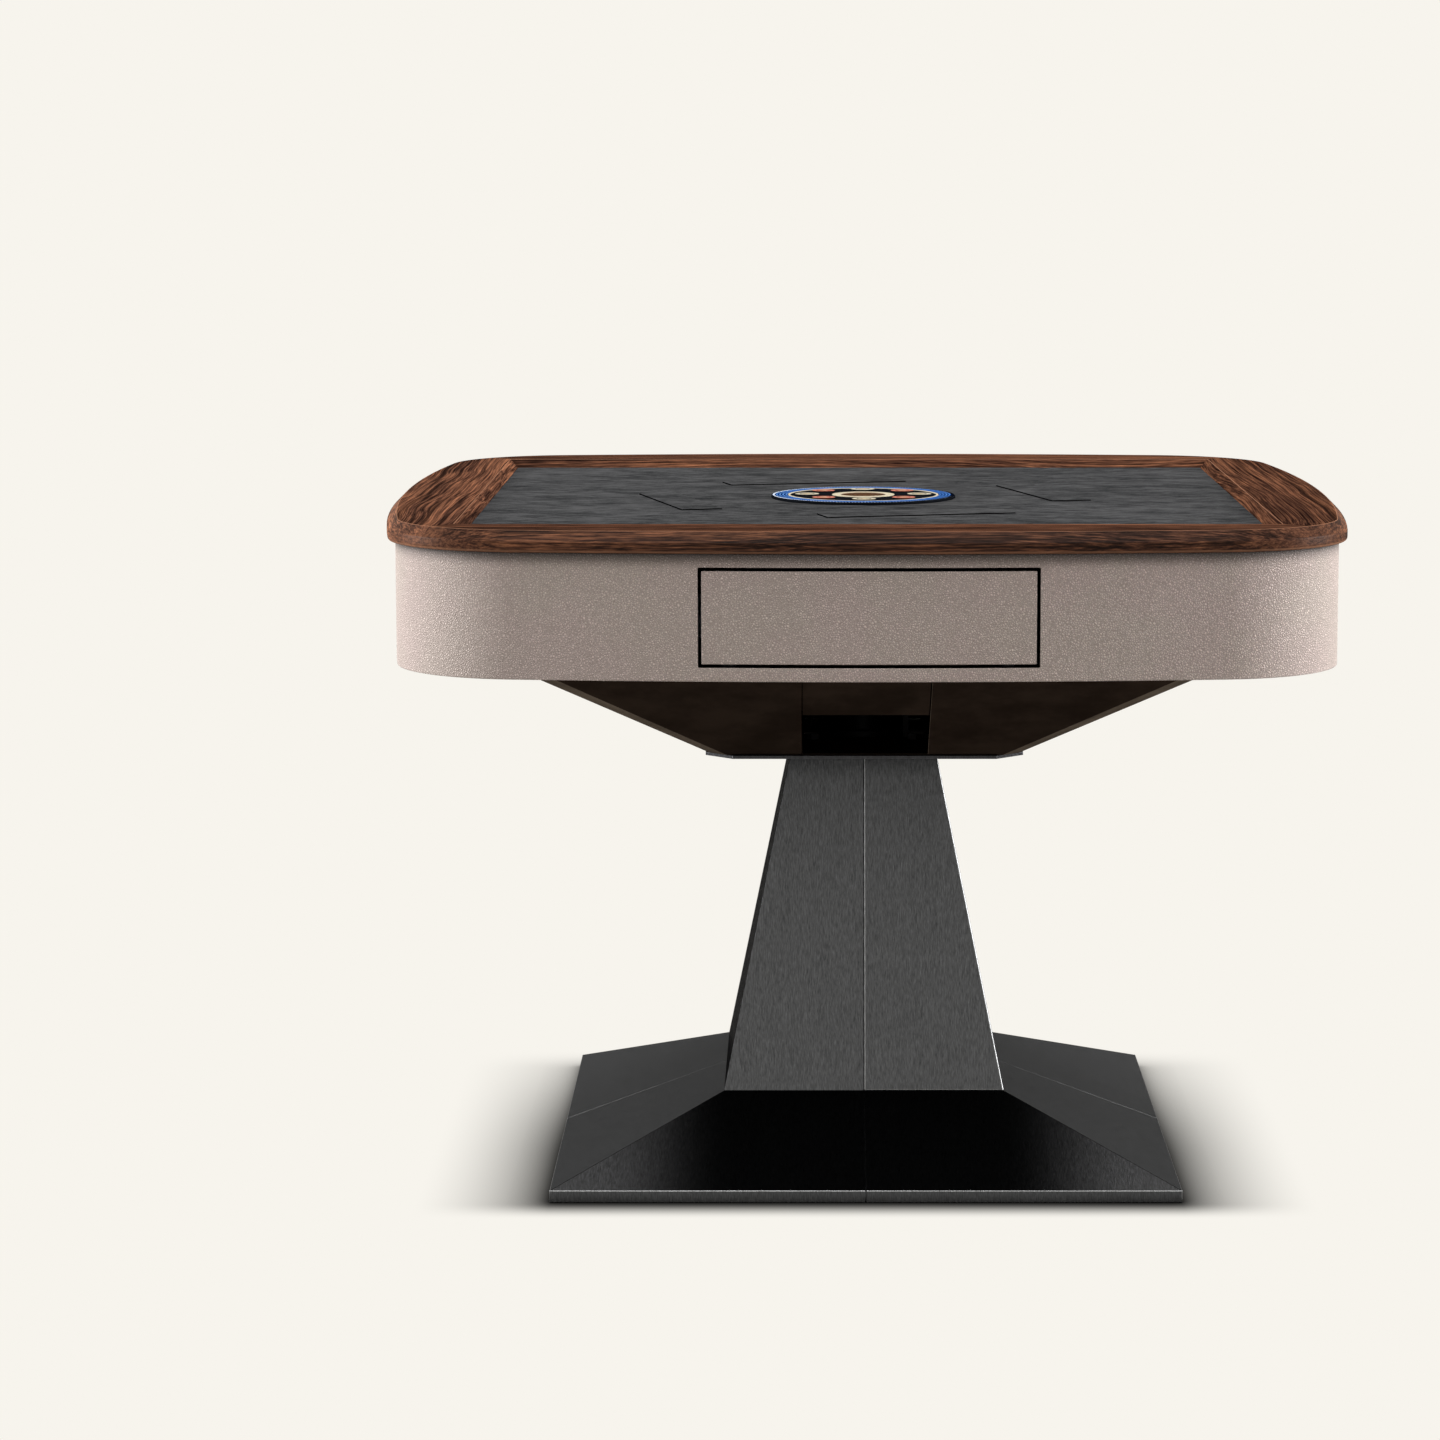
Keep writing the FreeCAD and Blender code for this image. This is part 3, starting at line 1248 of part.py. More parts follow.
def make_mains_inlet():
    """Panel under the deck with the socket recess and the switch's window."""
    body = add_body("mains_inlet")
    panel = add_sketch(body, "XY_Plane", SKIRT_FOOT)
    add_rectangle(panel, "-inlet_panel_half_length", f"{INLET_PLACE} - inlet_panel_half_width",
                  "inlet_panel_half_length", f"{INLET_PLACE} + inlet_panel_half_width")
    pad(body, panel, "inlet_panel_thick", downward=True)
    box = add_sketch(body, "XY_Plane", SKIRT_FOOT)
    add_rectangle(box, "-inlet_box_half_length", f"{INLET_PLACE} - inlet_box_half_width",
                  "inlet_box_half_length", f"{INLET_PLACE} + inlet_box_half_width")
    pad(body, box, "inlet_box_depth")
    face = f"({SKIRT_FOOT} - inlet_panel_thick)"
    socket = add_sketch(body, "XY_Plane", face)
    add_rectangle(socket, "socket_start", f"{INLET_PLACE} - socket_half_width",
                  "socket_start + socket_length", f"{INLET_PLACE} + socket_half_width")
    pocket(body, socket, "socket_depth", backward=True)
    window = add_sketch(body, "XY_Plane", face)
    add_rectangle(window, "switch_place - switch_half_length",
                  f"{INLET_PLACE} - switch_half_width",
                  "switch_place + switch_half_length", f"{INLET_PLACE} + switch_half_width")
    pocket(body, window, "switch_depth", backward=True)
    return [body]


def make_power_switch():
    """Rocker with two faces, resting on its off side."""
    body = add_body("power_switch")
    section = add_sketch(body, "XZ_Plane")
    half = "(switch_half_length - rocker_gap)"
    fall = f"({half} * tan(rocker_tilt))"
    add_polygon(section, [
        ("0", "-rocker_pivot_depth"), (half, f"-rocker_pivot_depth - {fall}"),
        (half, "rocker_depth"), (f"-{half}", "rocker_depth"),
        (f"-{half}", f"-rocker_pivot_depth - {fall}")])
    pad_both_ways(body, section, "(2 * (switch_half_width - fit_gap))")
    body.Placement = FreeCAD.Placement(
        FreeCAD.Vector(0, 0, 0), FreeCAD.Rotation(FreeCAD.Vector(0, 1, 0), value("rocker_tilt")))
    body.setExpression("Placement.Rotation.Angle", bound("rocker_tilt"))
    return [set_place(body, "switch_place", INLET_PLACE, f"{SKIRT_FOOT} - inlet_panel_thick")]


def build_all():
    """Build every sub-part of the table in turn."""
    makers = (
        make_base_pads, make_base_plate, make_base_covers, make_column_post, make_column_shells,
        make_mounting_plate, make_frame_bolts, make_hull, make_deck, make_skirt, make_rim,
        make_playing_surface, make_hatch_lids, make_tile_beds, make_drawers, make_drawer_runners,
        make_tile_tub, make_turntable, make_drum_drive, make_lift_guide, make_lift_post,
        make_lift_pinion, make_lift_motor, make_console_housing, make_console_cover,
        make_dice_window, make_dice_table, make_buttons, make_mains_inlet, make_power_switch)
    parts = []
    for maker in makers:
        parts += maker()
    return parts


def check(parts):
    """Stop if anything failed to build, or a sub-part is empty or not valid."""
    for item in DOC.Objects:
        if "Invalid" in item.State or "Error" in item.State:
            raise RuntimeError(f"{item.Label} failed: {item.State}")
    for part in parts:
        if part.Shape.isNull() or not part.Shape.isValid():
            raise RuntimeError(f"{part.Label} has no valid shape")
        if not part.Shape.Solids:
            raise RuntimeError(f"{part.Label} has no solid")


def export(parts):
    """Write each sub-part to a file of its own name."""
    os.makedirs("parts", exist_ok=True)
    for part in parts:
        part.Shape.exportStep(f"parts/{part.Label}.step")


fill_sheet()
PARTS = build_all()
DOC.recompute()
check(PARTS)
export(PARTS)
print(f"{len(PARTS)} sub-parts, {sum(len(part.Shape.Solids) for part in PARTS)} solids")
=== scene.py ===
"""Looks of a square automatic mahjong table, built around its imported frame.

Each sub-assembly of the table is a class that draws its own meshes, and each
finish is a class that paints one material with nodes. Sizes are in metres.
"""

import logging
import math
from abc import ABC, abstractmethod
from collections.abc import Callable, Iterator, Sequence
from contextlib import contextmanager
from dataclasses import dataclass, field
from enum import Enum
from functools import cached_property

import bmesh
import bpy
from mathutils import Matrix, Vector
from mathutils.geometry import delaunay_2d_cdt


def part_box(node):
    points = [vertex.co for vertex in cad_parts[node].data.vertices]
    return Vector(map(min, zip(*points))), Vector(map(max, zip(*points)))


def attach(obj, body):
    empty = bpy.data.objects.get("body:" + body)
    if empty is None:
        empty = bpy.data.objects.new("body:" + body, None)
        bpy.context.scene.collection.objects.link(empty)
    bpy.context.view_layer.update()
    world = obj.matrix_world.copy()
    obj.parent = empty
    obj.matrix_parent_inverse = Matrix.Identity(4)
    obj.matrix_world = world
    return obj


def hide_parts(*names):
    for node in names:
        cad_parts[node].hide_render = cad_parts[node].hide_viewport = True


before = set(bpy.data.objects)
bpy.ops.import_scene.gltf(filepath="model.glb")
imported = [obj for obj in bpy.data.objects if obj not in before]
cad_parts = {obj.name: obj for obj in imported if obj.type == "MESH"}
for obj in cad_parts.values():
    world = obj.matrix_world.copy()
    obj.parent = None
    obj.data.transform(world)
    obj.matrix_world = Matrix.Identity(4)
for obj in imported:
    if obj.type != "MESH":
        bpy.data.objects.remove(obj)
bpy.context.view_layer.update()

LOG = logging.getLogger("mahjong_table")

Colour = tuple[float, float, float]
Point = tuple[float, float, float]
Span = tuple[float, float]

BLACK: Colour = (0.0, 0.0, 0.0)
SCREEN_WHITE = 255
TOE_END = 0.04045
TOE_SLOPE = 12.92
CURVE_OFFSET = 0.055
CURVE_POWER = 2.4


def display(*levels: float) -> Colour:
    """Turn a colour as a screen shows it into scene light.

    Args:
        *levels: Red, green and blue of the screen, 0 to 255.

    Returns:
        The same colour in linear light.
    """
    shares = (level / SCREEN_WHITE for level in levels)
    return tuple(
        share / TOE_SLOPE if share <= TOE_END
        else ((share + CURVE_OFFSET) / (1 + CURVE_OFFSET)) ** CURVE_POWER for share in shares)


def scaled(tone: Colour, gain: float, lift: float = 0.0) -> Colour:
    """Brighten or darken a colour."""
    return tuple(level * gain + lift for level in tone)


class Side(Enum):
    """A side of the table, by its number of quarter turns from +X."""

    RIGHT = 0
    BACK = 1
    LEFT = 2
    FRONT = 3

    @property
    def angle(self) -> float:
        """Angle from +X to the side, in radians."""
        return self.value * math.pi / 2

    @property
    def turn(self) -> Matrix:
        """Rotation from the right side to this one."""
        return Matrix.Rotation(self.angle, 3, "Z")

    @property
    def word(self) -> str:
        """Name of the side as the nodes spell it."""
        return self.name.lower()


CORNERS = ("back_right", "back_left", "front_left", "front_right")


class Grain(Enum):
    """Direction of the wood's grain on a rail."""

    ACROSS = "x"
    ALONG = "y"


# Shader maths.


def math_method(operation: str, is_last: bool = False) -> Callable[..., "Channel"]:
    """Write a method of Channel that adds one Math node.

    Args:
        operation: Name of the node's operation.
        is_last: Whether the channel is the node's last input and not its first.

    Returns:
        The method, which takes the other inputs and gives the node's result.
    """
    def method(channel: "Channel", *others: "Channel | float") -> "Channel":
        """Add the Math node and give its result."""
        values = (*others, channel) if is_last else (channel, *others)
        return channel.board.number(
            "ShaderNodeMath", {"operation": operation}, dict(enumerate(values)))

    return method


@dataclass(frozen=True)
class Channel:
    """A number that varies over a surface, held by one output socket of a board.

    Beside plain sums, "over" gives 1 where the number is over a level, "most" keeps
    the greater of two, "wave" is a sine, "heading" is the angle of the point (other,
    this) in radians, and "remainder" keeps the part after the decimal point.
    """

    board: "Board"
    socket: bpy.types.NodeSocket

    __add__ = math_method("ADD")
    __radd__ = math_method("ADD", is_last=True)
    __sub__ = math_method("SUBTRACT")
    __rsub__ = math_method("SUBTRACT", is_last=True)
    __mul__ = math_method("MULTIPLY")
    __rmul__ = math_method("MULTIPLY", is_last=True)
    __truediv__ = math_method("DIVIDE")
    __pow__ = math_method("POWER")
    __abs__ = math_method("ABSOLUTE")
    over = math_method("GREATER_THAN")
    most = math_method("MAXIMUM")
    wave = math_method("SINE")
    heading = math_method("ARCTAN2")
    remainder = math_method("FRACT")

    def rise(self, low: float, high: float) -> "Channel":
        """Climb smoothly from 0 at the low level to 1 at the high one."""
        return self.board.number("ShaderNodeMapRange", {"interpolation_type": "SMOOTHSTEP"},
                                 {"Value": self, "From Min": low, "From Max": high})


@dataclass(frozen=True)
class Lumps:
    """Look of a layer of noise, with its lumps to a metre, the same or by axis."""

    scale: float | tuple[float, float, float]
    detail: float = 2.0
    roughness: float = 0.5
    distortion: float = 0.0


class Board:
    """The node tree of one material or world, with a method for each kind of step."""

    def __init__(self, tree: bpy.types.NodeTree) -> None:
        """Take over a node tree."""
        self.tree = tree

    def first(self, kind: str) -> bpy.types.Node:
        """Find the first node of a kind in the tree."""
        return next(node for node in self.tree.nodes if node.bl_idname == kind)

    def node(self, kind: str, settings: dict | None = None,
             sockets: dict | None = None) -> bpy.types.Node:
        """Add a node.

        Args:
            kind: Type of the node.
            settings: Its settings, set first.
            sockets: Values or links of its inputs, by name or number.

        Returns:
            The new node.
        """
        made = self.tree.nodes.new(kind)
        for name, value in (settings or {}).items():
            setattr(made, name, value)
        for name, value in (sockets or {}).items():
            self.feed(made.inputs[name], value)
        return made

    def number(self, kind: str, settings: dict | None = None, sockets: dict | None = None,
               output: int | str = 0) -> Channel:
        """Add a node and give one of its outputs as a channel."""
        return Channel(self, self.node(kind, settings, sockets).outputs[output])

    def feed(self, socket: bpy.types.NodeSocket, value: object) -> None:
        """Set an input or link something to it.

        Args:
            socket: Input to set.
            value: A channel, a socket, a number, a colour or a vector.
        """
        source = value.socket if isinstance(value, Channel) else value
        if isinstance(source, bpy.types.NodeSocket):
            self.tree.links.new(source, socket)
        else:
            socket.default_value = (*source, 1) if socket.type == "RGBA" else source

    @cached_property
    def place(self) -> bpy.types.NodeSocket:
        """Point on the piece, in metres in the table's frame."""
        return self.node("ShaderNodeTexCoord").outputs["Object"]

    @cached_property
    def facing(self) -> bpy.types.NodeSocket:
        """Direction that the surface faces, before any bump."""
        return self.node("ShaderNodeNewGeometry").outputs["Normal"]

    def seen(self) -> Channel:
        """Give 1 for rays to the camera, straight, mirrored or through a pane."""
        rays = self.node("ShaderNodeLightPath").outputs
        straight, mirrored, through = (Channel(self, rays[f"Is {kind} Ray"])
                                       for kind in ("Camera", "Glossy", "Transmission"))
        return straight + mirrored + through

    def split(self, vector: bpy.types.NodeSocket) -> tuple[Channel, Channel, Channel]:
        """Give the three parts of a vector."""
        parts = self.node("ShaderNodeSeparateXYZ", sockets={0: vector}).outputs
        return tuple(Channel(self, part) for part in parts)

    def join(self, *parts: Channel | float) -> bpy.types.NodeSocket:
        """Make a vector from three parts."""
        return self.node("ShaderNodeCombineXYZ", sockets=dict(enumerate(parts))).outputs[0]

    def noise(self, lumps: Lumps, vector: bpy.types.NodeSocket | None = None) -> Channel:
        """Add cloudy noise.

        Args:
            lumps: Look of the noise.
            vector: Point to look up, or None for the point on the piece.

        Returns:
            Noise between 0 and 1.
        """
        point, scale = self.place if vector is None else vector, lumps.scale
        if isinstance(scale, tuple):
            point = self.node("ShaderNodeVectorMath", {"operation": "MULTIPLY"},
                              {0: point, 1: scale}).outputs[0]
            scale = 1.0
        return self.number("ShaderNodeTexNoise", sockets={
            "Vector": point, "Scale": scale, "Detail": lumps.detail,
            "Roughness": lumps.roughness, "Distortion": lumps.distortion})

    def blend(self, factor: Channel | float, first: object, second: object,
              mode: str = "MIX") -> bpy.types.NodeSocket:
        """Blend two colours.

        Args:
            factor: Share of the second colour.
            first: First colour, or a socket that gives it.
            second: Second colour, or a socket that gives it.
            mode: Blend mode of the Mix node.

        Returns:
            The blended colour.
        """
        node = self.node("ShaderNodeMix", {"data_type": "RGBA", "blend_type": mode},
                         {0: factor, 6: first, 7: second})
        return node.outputs[2]

    def ramp(self, factor: Channel, stops: Sequence[tuple[float, Colour]]) -> bpy.types.NodeSocket:
        """Turn a number into a colour by its place on a ramp.

        Args:
            factor: Number to turn.
            stops: Place and colour of each stop, in order.

        Returns:
            The colour.
        """
        node = self.node("ShaderNodeValToRGB", sockets={0: factor})
        elements = node.color_ramp.elements
        for index, (place, colour) in enumerate(stops):
            stop = elements[index] if index < len(elements) else elements.new(place)
            stop.position = place
            stop.color = (*colour, 1)
        return node.outputs[0]

    def bump(self, height: Channel, depth: float, strength: float = 1.0) -> bpy.types.NodeSocket:
        """Bend the normal by a height of 0 to 1, where 1 is the depth in metres."""
        return self.node("ShaderNodeBump", sockets={
            "Height": height, "Distance": depth, "Strength": strength}).outputs[0]

    def set_surface(self, **sockets: object) -> None:
        """Set the inputs of the surface shader, each named with underscores for spaces."""
        inputs = self.first("ShaderNodeBsdfPrincipled").inputs
        for name, value in sockets.items():
            self.feed(inputs[name.replace("_", " ").title().replace("Ior", "IOR")], value)


# Finishes.


NOISE_MIDDLE = 0.5


class Finish(ABC):
    """A surface finish that becomes a material when a piece first needs it."""

    title: str

    @abstractmethod
    def paint(self, board: Board) -> None:
        """Make the nodes of the finish on a board."""

    def material(self) -> bpy.types.Material:
        """Give the finish's material, and make it on the first call."""
        found = bpy.data.materials.get(self.title)
        if found is None:
            found = bpy.data.materials.new(self.title)
            found.use_nodes = True
            self.paint(Board(found.node_tree))
        return found


@dataclass(frozen=True)
class OiledWalnut(Finish):
    """Dark walnut streaked with orange along the rail, matt on top and satin on its edge, with
    painted highlights on its rounded creases and foot.
    """

    title: str
    grain: Grain
    pace: float
    painted_light_gain: float
    heartwood: Colour = display(26, 16, 12)
    brown: Colour = display(62, 40, 31)
    streak: Colour = display(108, 71, 52)
    bright: Colour = display(158, 104, 74)
    # edge_highlight is the colour of a painted highlight on the rounded creases beside the top and
    # on the rounded foot.
    edge_highlight: Colour = display(176, 128, 100)
    middle_tone: float = 0.52
    end_calm: float = 0.5
    end_span: Span = (0.1, 0.6)
    strand_share: float = 0.46
    fibre_share: float = 0.34
    band_share: float = 0.28
    tone_drop: float = 0.04
    stops: tuple[float, ...] = (0.40, 0.475, 0.56, 0.66)
    line_span: Span = (0.58, 0.66)
    line_share: float = 0.6
    pore_span: Span = (0.58, 0.72)
    pore_share: float = 0.35
    crown_share: float = 0.5
    foot_share: float = 0.35
    crown_rise: Span = (0.76, 0.86)
    crown_fall: Span = (0.95, 0.99)
    foot_rise: Span = (0.15, 0.40)
    foot_fall: Span = (0.80, 0.95)
    edge_fall: Span = (0.74, 0.90)
    outer_span: Span = (0.45, 0.47)
    coat: float = 0.10
    coat_roughness: float = 0.3
    roughness: float = 0.44
    fibre_dulling: float = 0.16
    pore_relief: float = 0.5
    relief: float = 0.0003
    strength: float = 0.6
    wander: Lumps = Lumps((1.6, 5.0, 5.0))
    wander_reach: Span = (0.06, 0.02)
    bands: Lumps = Lumps((1.0, 34.0, 52.0), 3.0)
    lines: Lumps = Lumps((0.8, 105.0, 130.0))
    strands: Lumps = Lumps((3.0, 340.0, 430.0), 3.0, 0.6)
    fibres: Lumps = Lumps((18.0, 820.0, 900.0), 3.0, 0.6)
    pores: Lumps = Lumps((60.0, 1300.0, 1300.0))

    def paint(self, board: Board) -> None:
        """Lay bands, fibres, dark lines and pores along the grain, and painted highlights on the
        rounded creases beside the top and on the rounded foot.
        """
        x, y, z = board.split(board.place)
        facing_x, facing_y, up = board.split(board.facing)
        along, across, end = ((x, y, facing_x) if self.grain is Grain.ACROSS
                              else (y, x, facing_y))
        calm = 1.0 - abs(end).rise(*self.end_span) * self.end_calm
        straight = board.join(along, across, z)
        wander = board.noise(self.wander, straight)
        bent, lifted = across + wander * self.wander_reach[0], z + wander * self.wander_reach[1]
        even = board.join(along, bent, lifted)
        paced = board.join(along * self.pace, bent, lifted)
        strands, fibres = board.noise(self.strands, paced), board.noise(self.fibres, paced)
        bands, lines = board.noise(self.bands, even), board.noise(self.lines, even)
        pores = board.noise(self.pores, straight)
        tone = (strands * self.strand_share + fibres * self.fibre_share
                + bands * self.band_share - self.tone_drop)
        tone = (tone - self.middle_tone) * calm + self.middle_tone
        colour = board.ramp(tone, list(zip(
            self.stops, (self.heartwood, self.brown, self.streak, self.bright))))
        dark = (lines.rise(*self.line_span) * self.line_share
                + pores.rise(*self.pore_span) * self.pore_share) * calm
        # The rail's gain multiplies its colour as painted light for its side of the table.
        toned = board.blend(1.0, board.blend(dark, colour, self.heartwood),
                            (self.painted_light_gain,) * 3, "MULTIPLY")
        # Painted highlights: crown picks the rounded creases beside the top, foot picks the
        # rounded foot, and both blend toward the light edge colour.
        down = up * -1.0
        crown = up.rise(*self.crown_rise) * (1.0 - up.rise(*self.crown_fall))
        foot = down.rise(*self.foot_rise) * (1.0 - down.rise(*self.foot_fall))
        edge = (1.0 - up.rise(*self.edge_fall)) * abs(x).most(abs(y)).rise(*self.outer_span)
        board.set_surface(
            base_color=board.blend(crown * self.crown_share + foot * self.foot_share, toned,
                                   self.edge_highlight),
            roughness=self.roughness + fibres * self.fibre_dulling, specular_ior_level=0.0,
            coat_weight=edge * self.coat, coat_roughness=self.coat_roughness,
            normal=board.bump(fibres - pores * self.pore_relief, self.relief, self.strength))


@dataclass(frozen=True)
class PebbledLeather(Finish):
    """Warm grey leather with a fine pebble grain and painted shade in its creases, and a painted
    shadow where it meets the rim.
    """

    title: str = "pebbled_leather"
    tone: Colour = display(226, 210, 201)
    rosy: Colour = display(229, 209, 203)
    crease: Colour = display(112, 100, 94)
    crease_share: float = 0.75
    crease_width: float = 0.38
    pebbles_per_metre: float = 440.0
    pebble_share: float = 0.7
    bend: Lumps = Lumps(260.0)
    bend_reach: float = 0.0026
    wrinkle: Lumps = Lumps(800.0, 3.0, 0.65)
    mottle: Lumps = Lumps(11.0, 3.0, 0.55)
    mottle_span: Span = (0.35, 0.65)
    relief: float = 0.0009
    rim_foot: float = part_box("skirt")[1].z
    shade_reach: float = 0.016
    shade_power: float = 1.5
    shade_depth: float = 0.92
    roughness: float = 0.62
    pebble_shine: float = 0.10
    gloss: float = 0.40

    def paint(self, board: Board) -> None:
        """Lay pebbles with creases darkened by painted shade over a mottled dye, and paint the
        rim's shadow under the rim.
        """
        x, y, z = board.split(board.place)
        bend = board.noise(self.bend) * self.bend_reach
        bent = board.join(x + bend, y + bend, z - bend)
        edges = board.number("ShaderNodeTexVoronoi", {"feature": "DISTANCE_TO_EDGE"},
                             {"Vector": bent, "Scale": self.pebbles_per_metre}, "Distance")
        pebble = edges.rise(0.0, self.crease_width)
        height = (pebble * self.pebble_share
                  + board.noise(self.wrinkle) * (1.0 - self.pebble_share))
        dye = board.blend(board.noise(self.mottle).rise(*self.mottle_span), self.tone, self.rosy)
        # Painted shade: the colour darkens toward the crease colour where the pebbled surface is
        # lowest.
        grained = board.blend((1.0 - height) * self.crease_share, dye, self.crease)
        # Painted shadow: over shade_reach below the rim's foot the colour fades to black, where
        # the rim's shadow falls.
        under = ((z - (self.rim_foot - self.shade_reach)) / self.shade_reach).most(0.0)
        board.set_surface(
            base_color=board.blend(under ** self.shade_power * self.shade_depth, grained, BLACK),
            roughness=self.roughness - pebble * self.pebble_shine, specular_ior_level=self.gloss,
            normal=board.bump(height, self.relief))


@dataclass(frozen=True)
class BrushedSteel(Finish):
    """Dark sheet steel brushed in fine upright strokes."""

    title: str
    tone: Colour
    roughness: float = 0.40
    edge_tint: float = 0.30
    stroke_depth: float = 0.0005
    stroke_gain: float = 1.3
    broad_gain: float = 0.12
    dulling: float = 0.12
    dark_gain: float = 0.45
    light_gain: float = 1.6
    stops: tuple[float, ...] = (0.1, 0.5, 0.9)
    strokes: Lumps = Lumps((860.0, 95.0, 120.0), 2.0, 0.7)
    broad: Lumps = Lumps((90.0, 5.0, 6.0), 3.0)

    def shaded(self, board: Board, colour: bpy.types.NodeSocket) -> bpy.types.NodeSocket:
        """Leave the colour as it is. Another kind of steel can change it here."""
        return colour

    def paint(self, board: Board) -> None:
        """Lay fine strokes that run up each face, whichever way it faces."""
        x, y, z = board.split(board.place)
        is_side = abs(x).over(abs(y))
        point = board.join(x + (y - x) * is_side, y + (x - y) * is_side, z)
        strokes, broad = board.noise(self.strokes, point), board.noise(self.broad, point)
        shade = ((strokes - NOISE_MIDDLE) * self.stroke_gain
                 + (broad - NOISE_MIDDLE) * self.broad_gain)
        tones = (scaled(self.tone, self.dark_gain), self.tone, scaled(self.tone, self.light_gain))
        colour = board.ramp(shade + NOISE_MIDDLE, list(zip(self.stops, tones)))
        board.set_surface(
            base_color=self.shaded(board, colour), metallic=1.0,
            roughness=self.roughness + shade * self.dulling, specular_tint=(self.edge_tint,) * 3,
            normal=board.bump(strokes, self.stroke_depth))


@dataclass(frozen=True)
class MitredSteel(BrushedSteel):
    """Brushed steel of the base, its front and back slopes painted lighter, with a painted shade
    of the column, black, in their middles.
    """

    shade_level: float = 0.0135
    shade_span: Span = (0.125, 0.295)
    shade_depth: float = 0.95
    slope_gain: float = 2.5
    mitre_span: Span = (0.0004, 0.0010)

    def shaded(self, board: Board, colour: bpy.types.NodeSocket) -> bpy.types.NodeSocket:
        """Paint light on the front and back slopes, paint the column's shade black into their
        middles, and blacken the mitres.

        Args:
            board: Board of the material.
            colour: Colour of the steel.

        Returns:
            The changed colour.
        """
        x, y, z = board.split(board.place)
        # Painted light and shade: the front and back slopes are painted slope_gain times lighter,
        # then their middles are painted black as the column's shade, fading out toward the
        # corners.
        front = (1.0 - abs(x).over(abs(y))) * z.over(self.shade_level)
        middle = 1.0 - abs(x).rise(*self.shade_span) ** 2.0
        mitre = 1.0 - abs(abs(x) - abs(y)).rise(*self.mitre_span)
        painted_lit_slopes = board.blend(front, colour, (self.slope_gain,) * 3, "MULTIPLY")
        return board.blend((middle * front * self.shade_depth).most(mitre), painted_lit_slopes, BLACK)


@dataclass(frozen=True)
class MouldedPlastic(Finish):
    """Moulded plastic with a fine spark-eroded grain over faint patches of two tones."""

    title: str
    tone: Colour
    roughness: float = 0.5
    gloss: float = 0.3
    depth: float = 0.00006
    strength: float = 0.5
    metallic: float = 0.0
    gains: Span = (0.86, 1.0)
    lift: float = 0.0
    patches: Lumps = Lumps(22.0)
    spread: Span = (0.35, 0.65)
    patch_dulling: float = 0.0
    grain: Lumps = Lumps(1600.0, 2.0, 0.6)
    grain_dulling: float = 0.16

    def tones(self) -> tuple[Colour, Colour]:
        """Give the two tones of the patches."""
        return scaled(self.tone, self.gains[0]), scaled(self.tone, self.gains[1], self.lift)

    def paint(self, board: Board) -> None:
        """Lay the grain over the patches."""
        grain, patches = board.noise(self.grain), board.noise(self.patches)
        board.set_surface(
            base_color=board.blend(patches.rise(*self.spread), *self.tones()),
            roughness=((grain - NOISE_MIDDLE) * self.grain_dulling
                       + patches * self.patch_dulling + self.roughness),
            metallic=self.metallic, specular_ior_level=self.gloss,
            normal=board.bump(grain, self.depth, self.strength))


@dataclass(frozen=True)
class PowderCoat(MouldedPlastic):
    """Powder-coated sheet with a fine orange-peel texture."""

    depth: float = 0.00008
    gains: Span = (0.75, 1.3)
    lift: float = 0.001
    patches: Lumps = Lumps(14.0, 4.0, 0.6)
    spread: Span = (0.3, 0.7)
    grain: Lumps = Lumps(1300.0, 2.0, 0.6)
    grain_dulling: float = 0.2


@dataclass(frozen=True)
class MachinedMetal(MouldedPlastic):
    """Turned, drawn or plated metal with fine tool marks and dull patches."""

    gloss: float = 0.5
    depth: float = 0.00003
    strength: float = 0.4
    metallic: float = 1.0
    gains: Span = (1.0, 0.7)
    patches: Lumps = Lumps(45.0, 4.0, 0.6)
    spread: Span = (0.4, 0.75)
    patch_dulling: float = 0.14
    grain: Lumps = Lumps((260.0, 260.0, 2600.0))
    grain_dulling: float = 0.1


@dataclass(frozen=True)
class GlossCap(MouldedPlastic):
    """Glossy moulded cap with a soft marbling of a second tone."""

    glow: Colour = field(kw_only=True)
    roughness: float = 0.34
    gloss: float = 0.0
    depth: float = 0.00002
    strength: float = 0.4
    patches: Lumps = Lumps(130.0, 4.0, 0.6, 1.5)
    spread: Span = (0.35, 0.7)
    patch_dulling: float = 0.08
    grain: Lumps = Lumps(1500.0, 1.0)
    grain_dulling: float = 0.0

    def tones(self) -> tuple[Colour, Colour]:
        """Give the cap's own tone and its glow."""
        return self.tone, self.glow


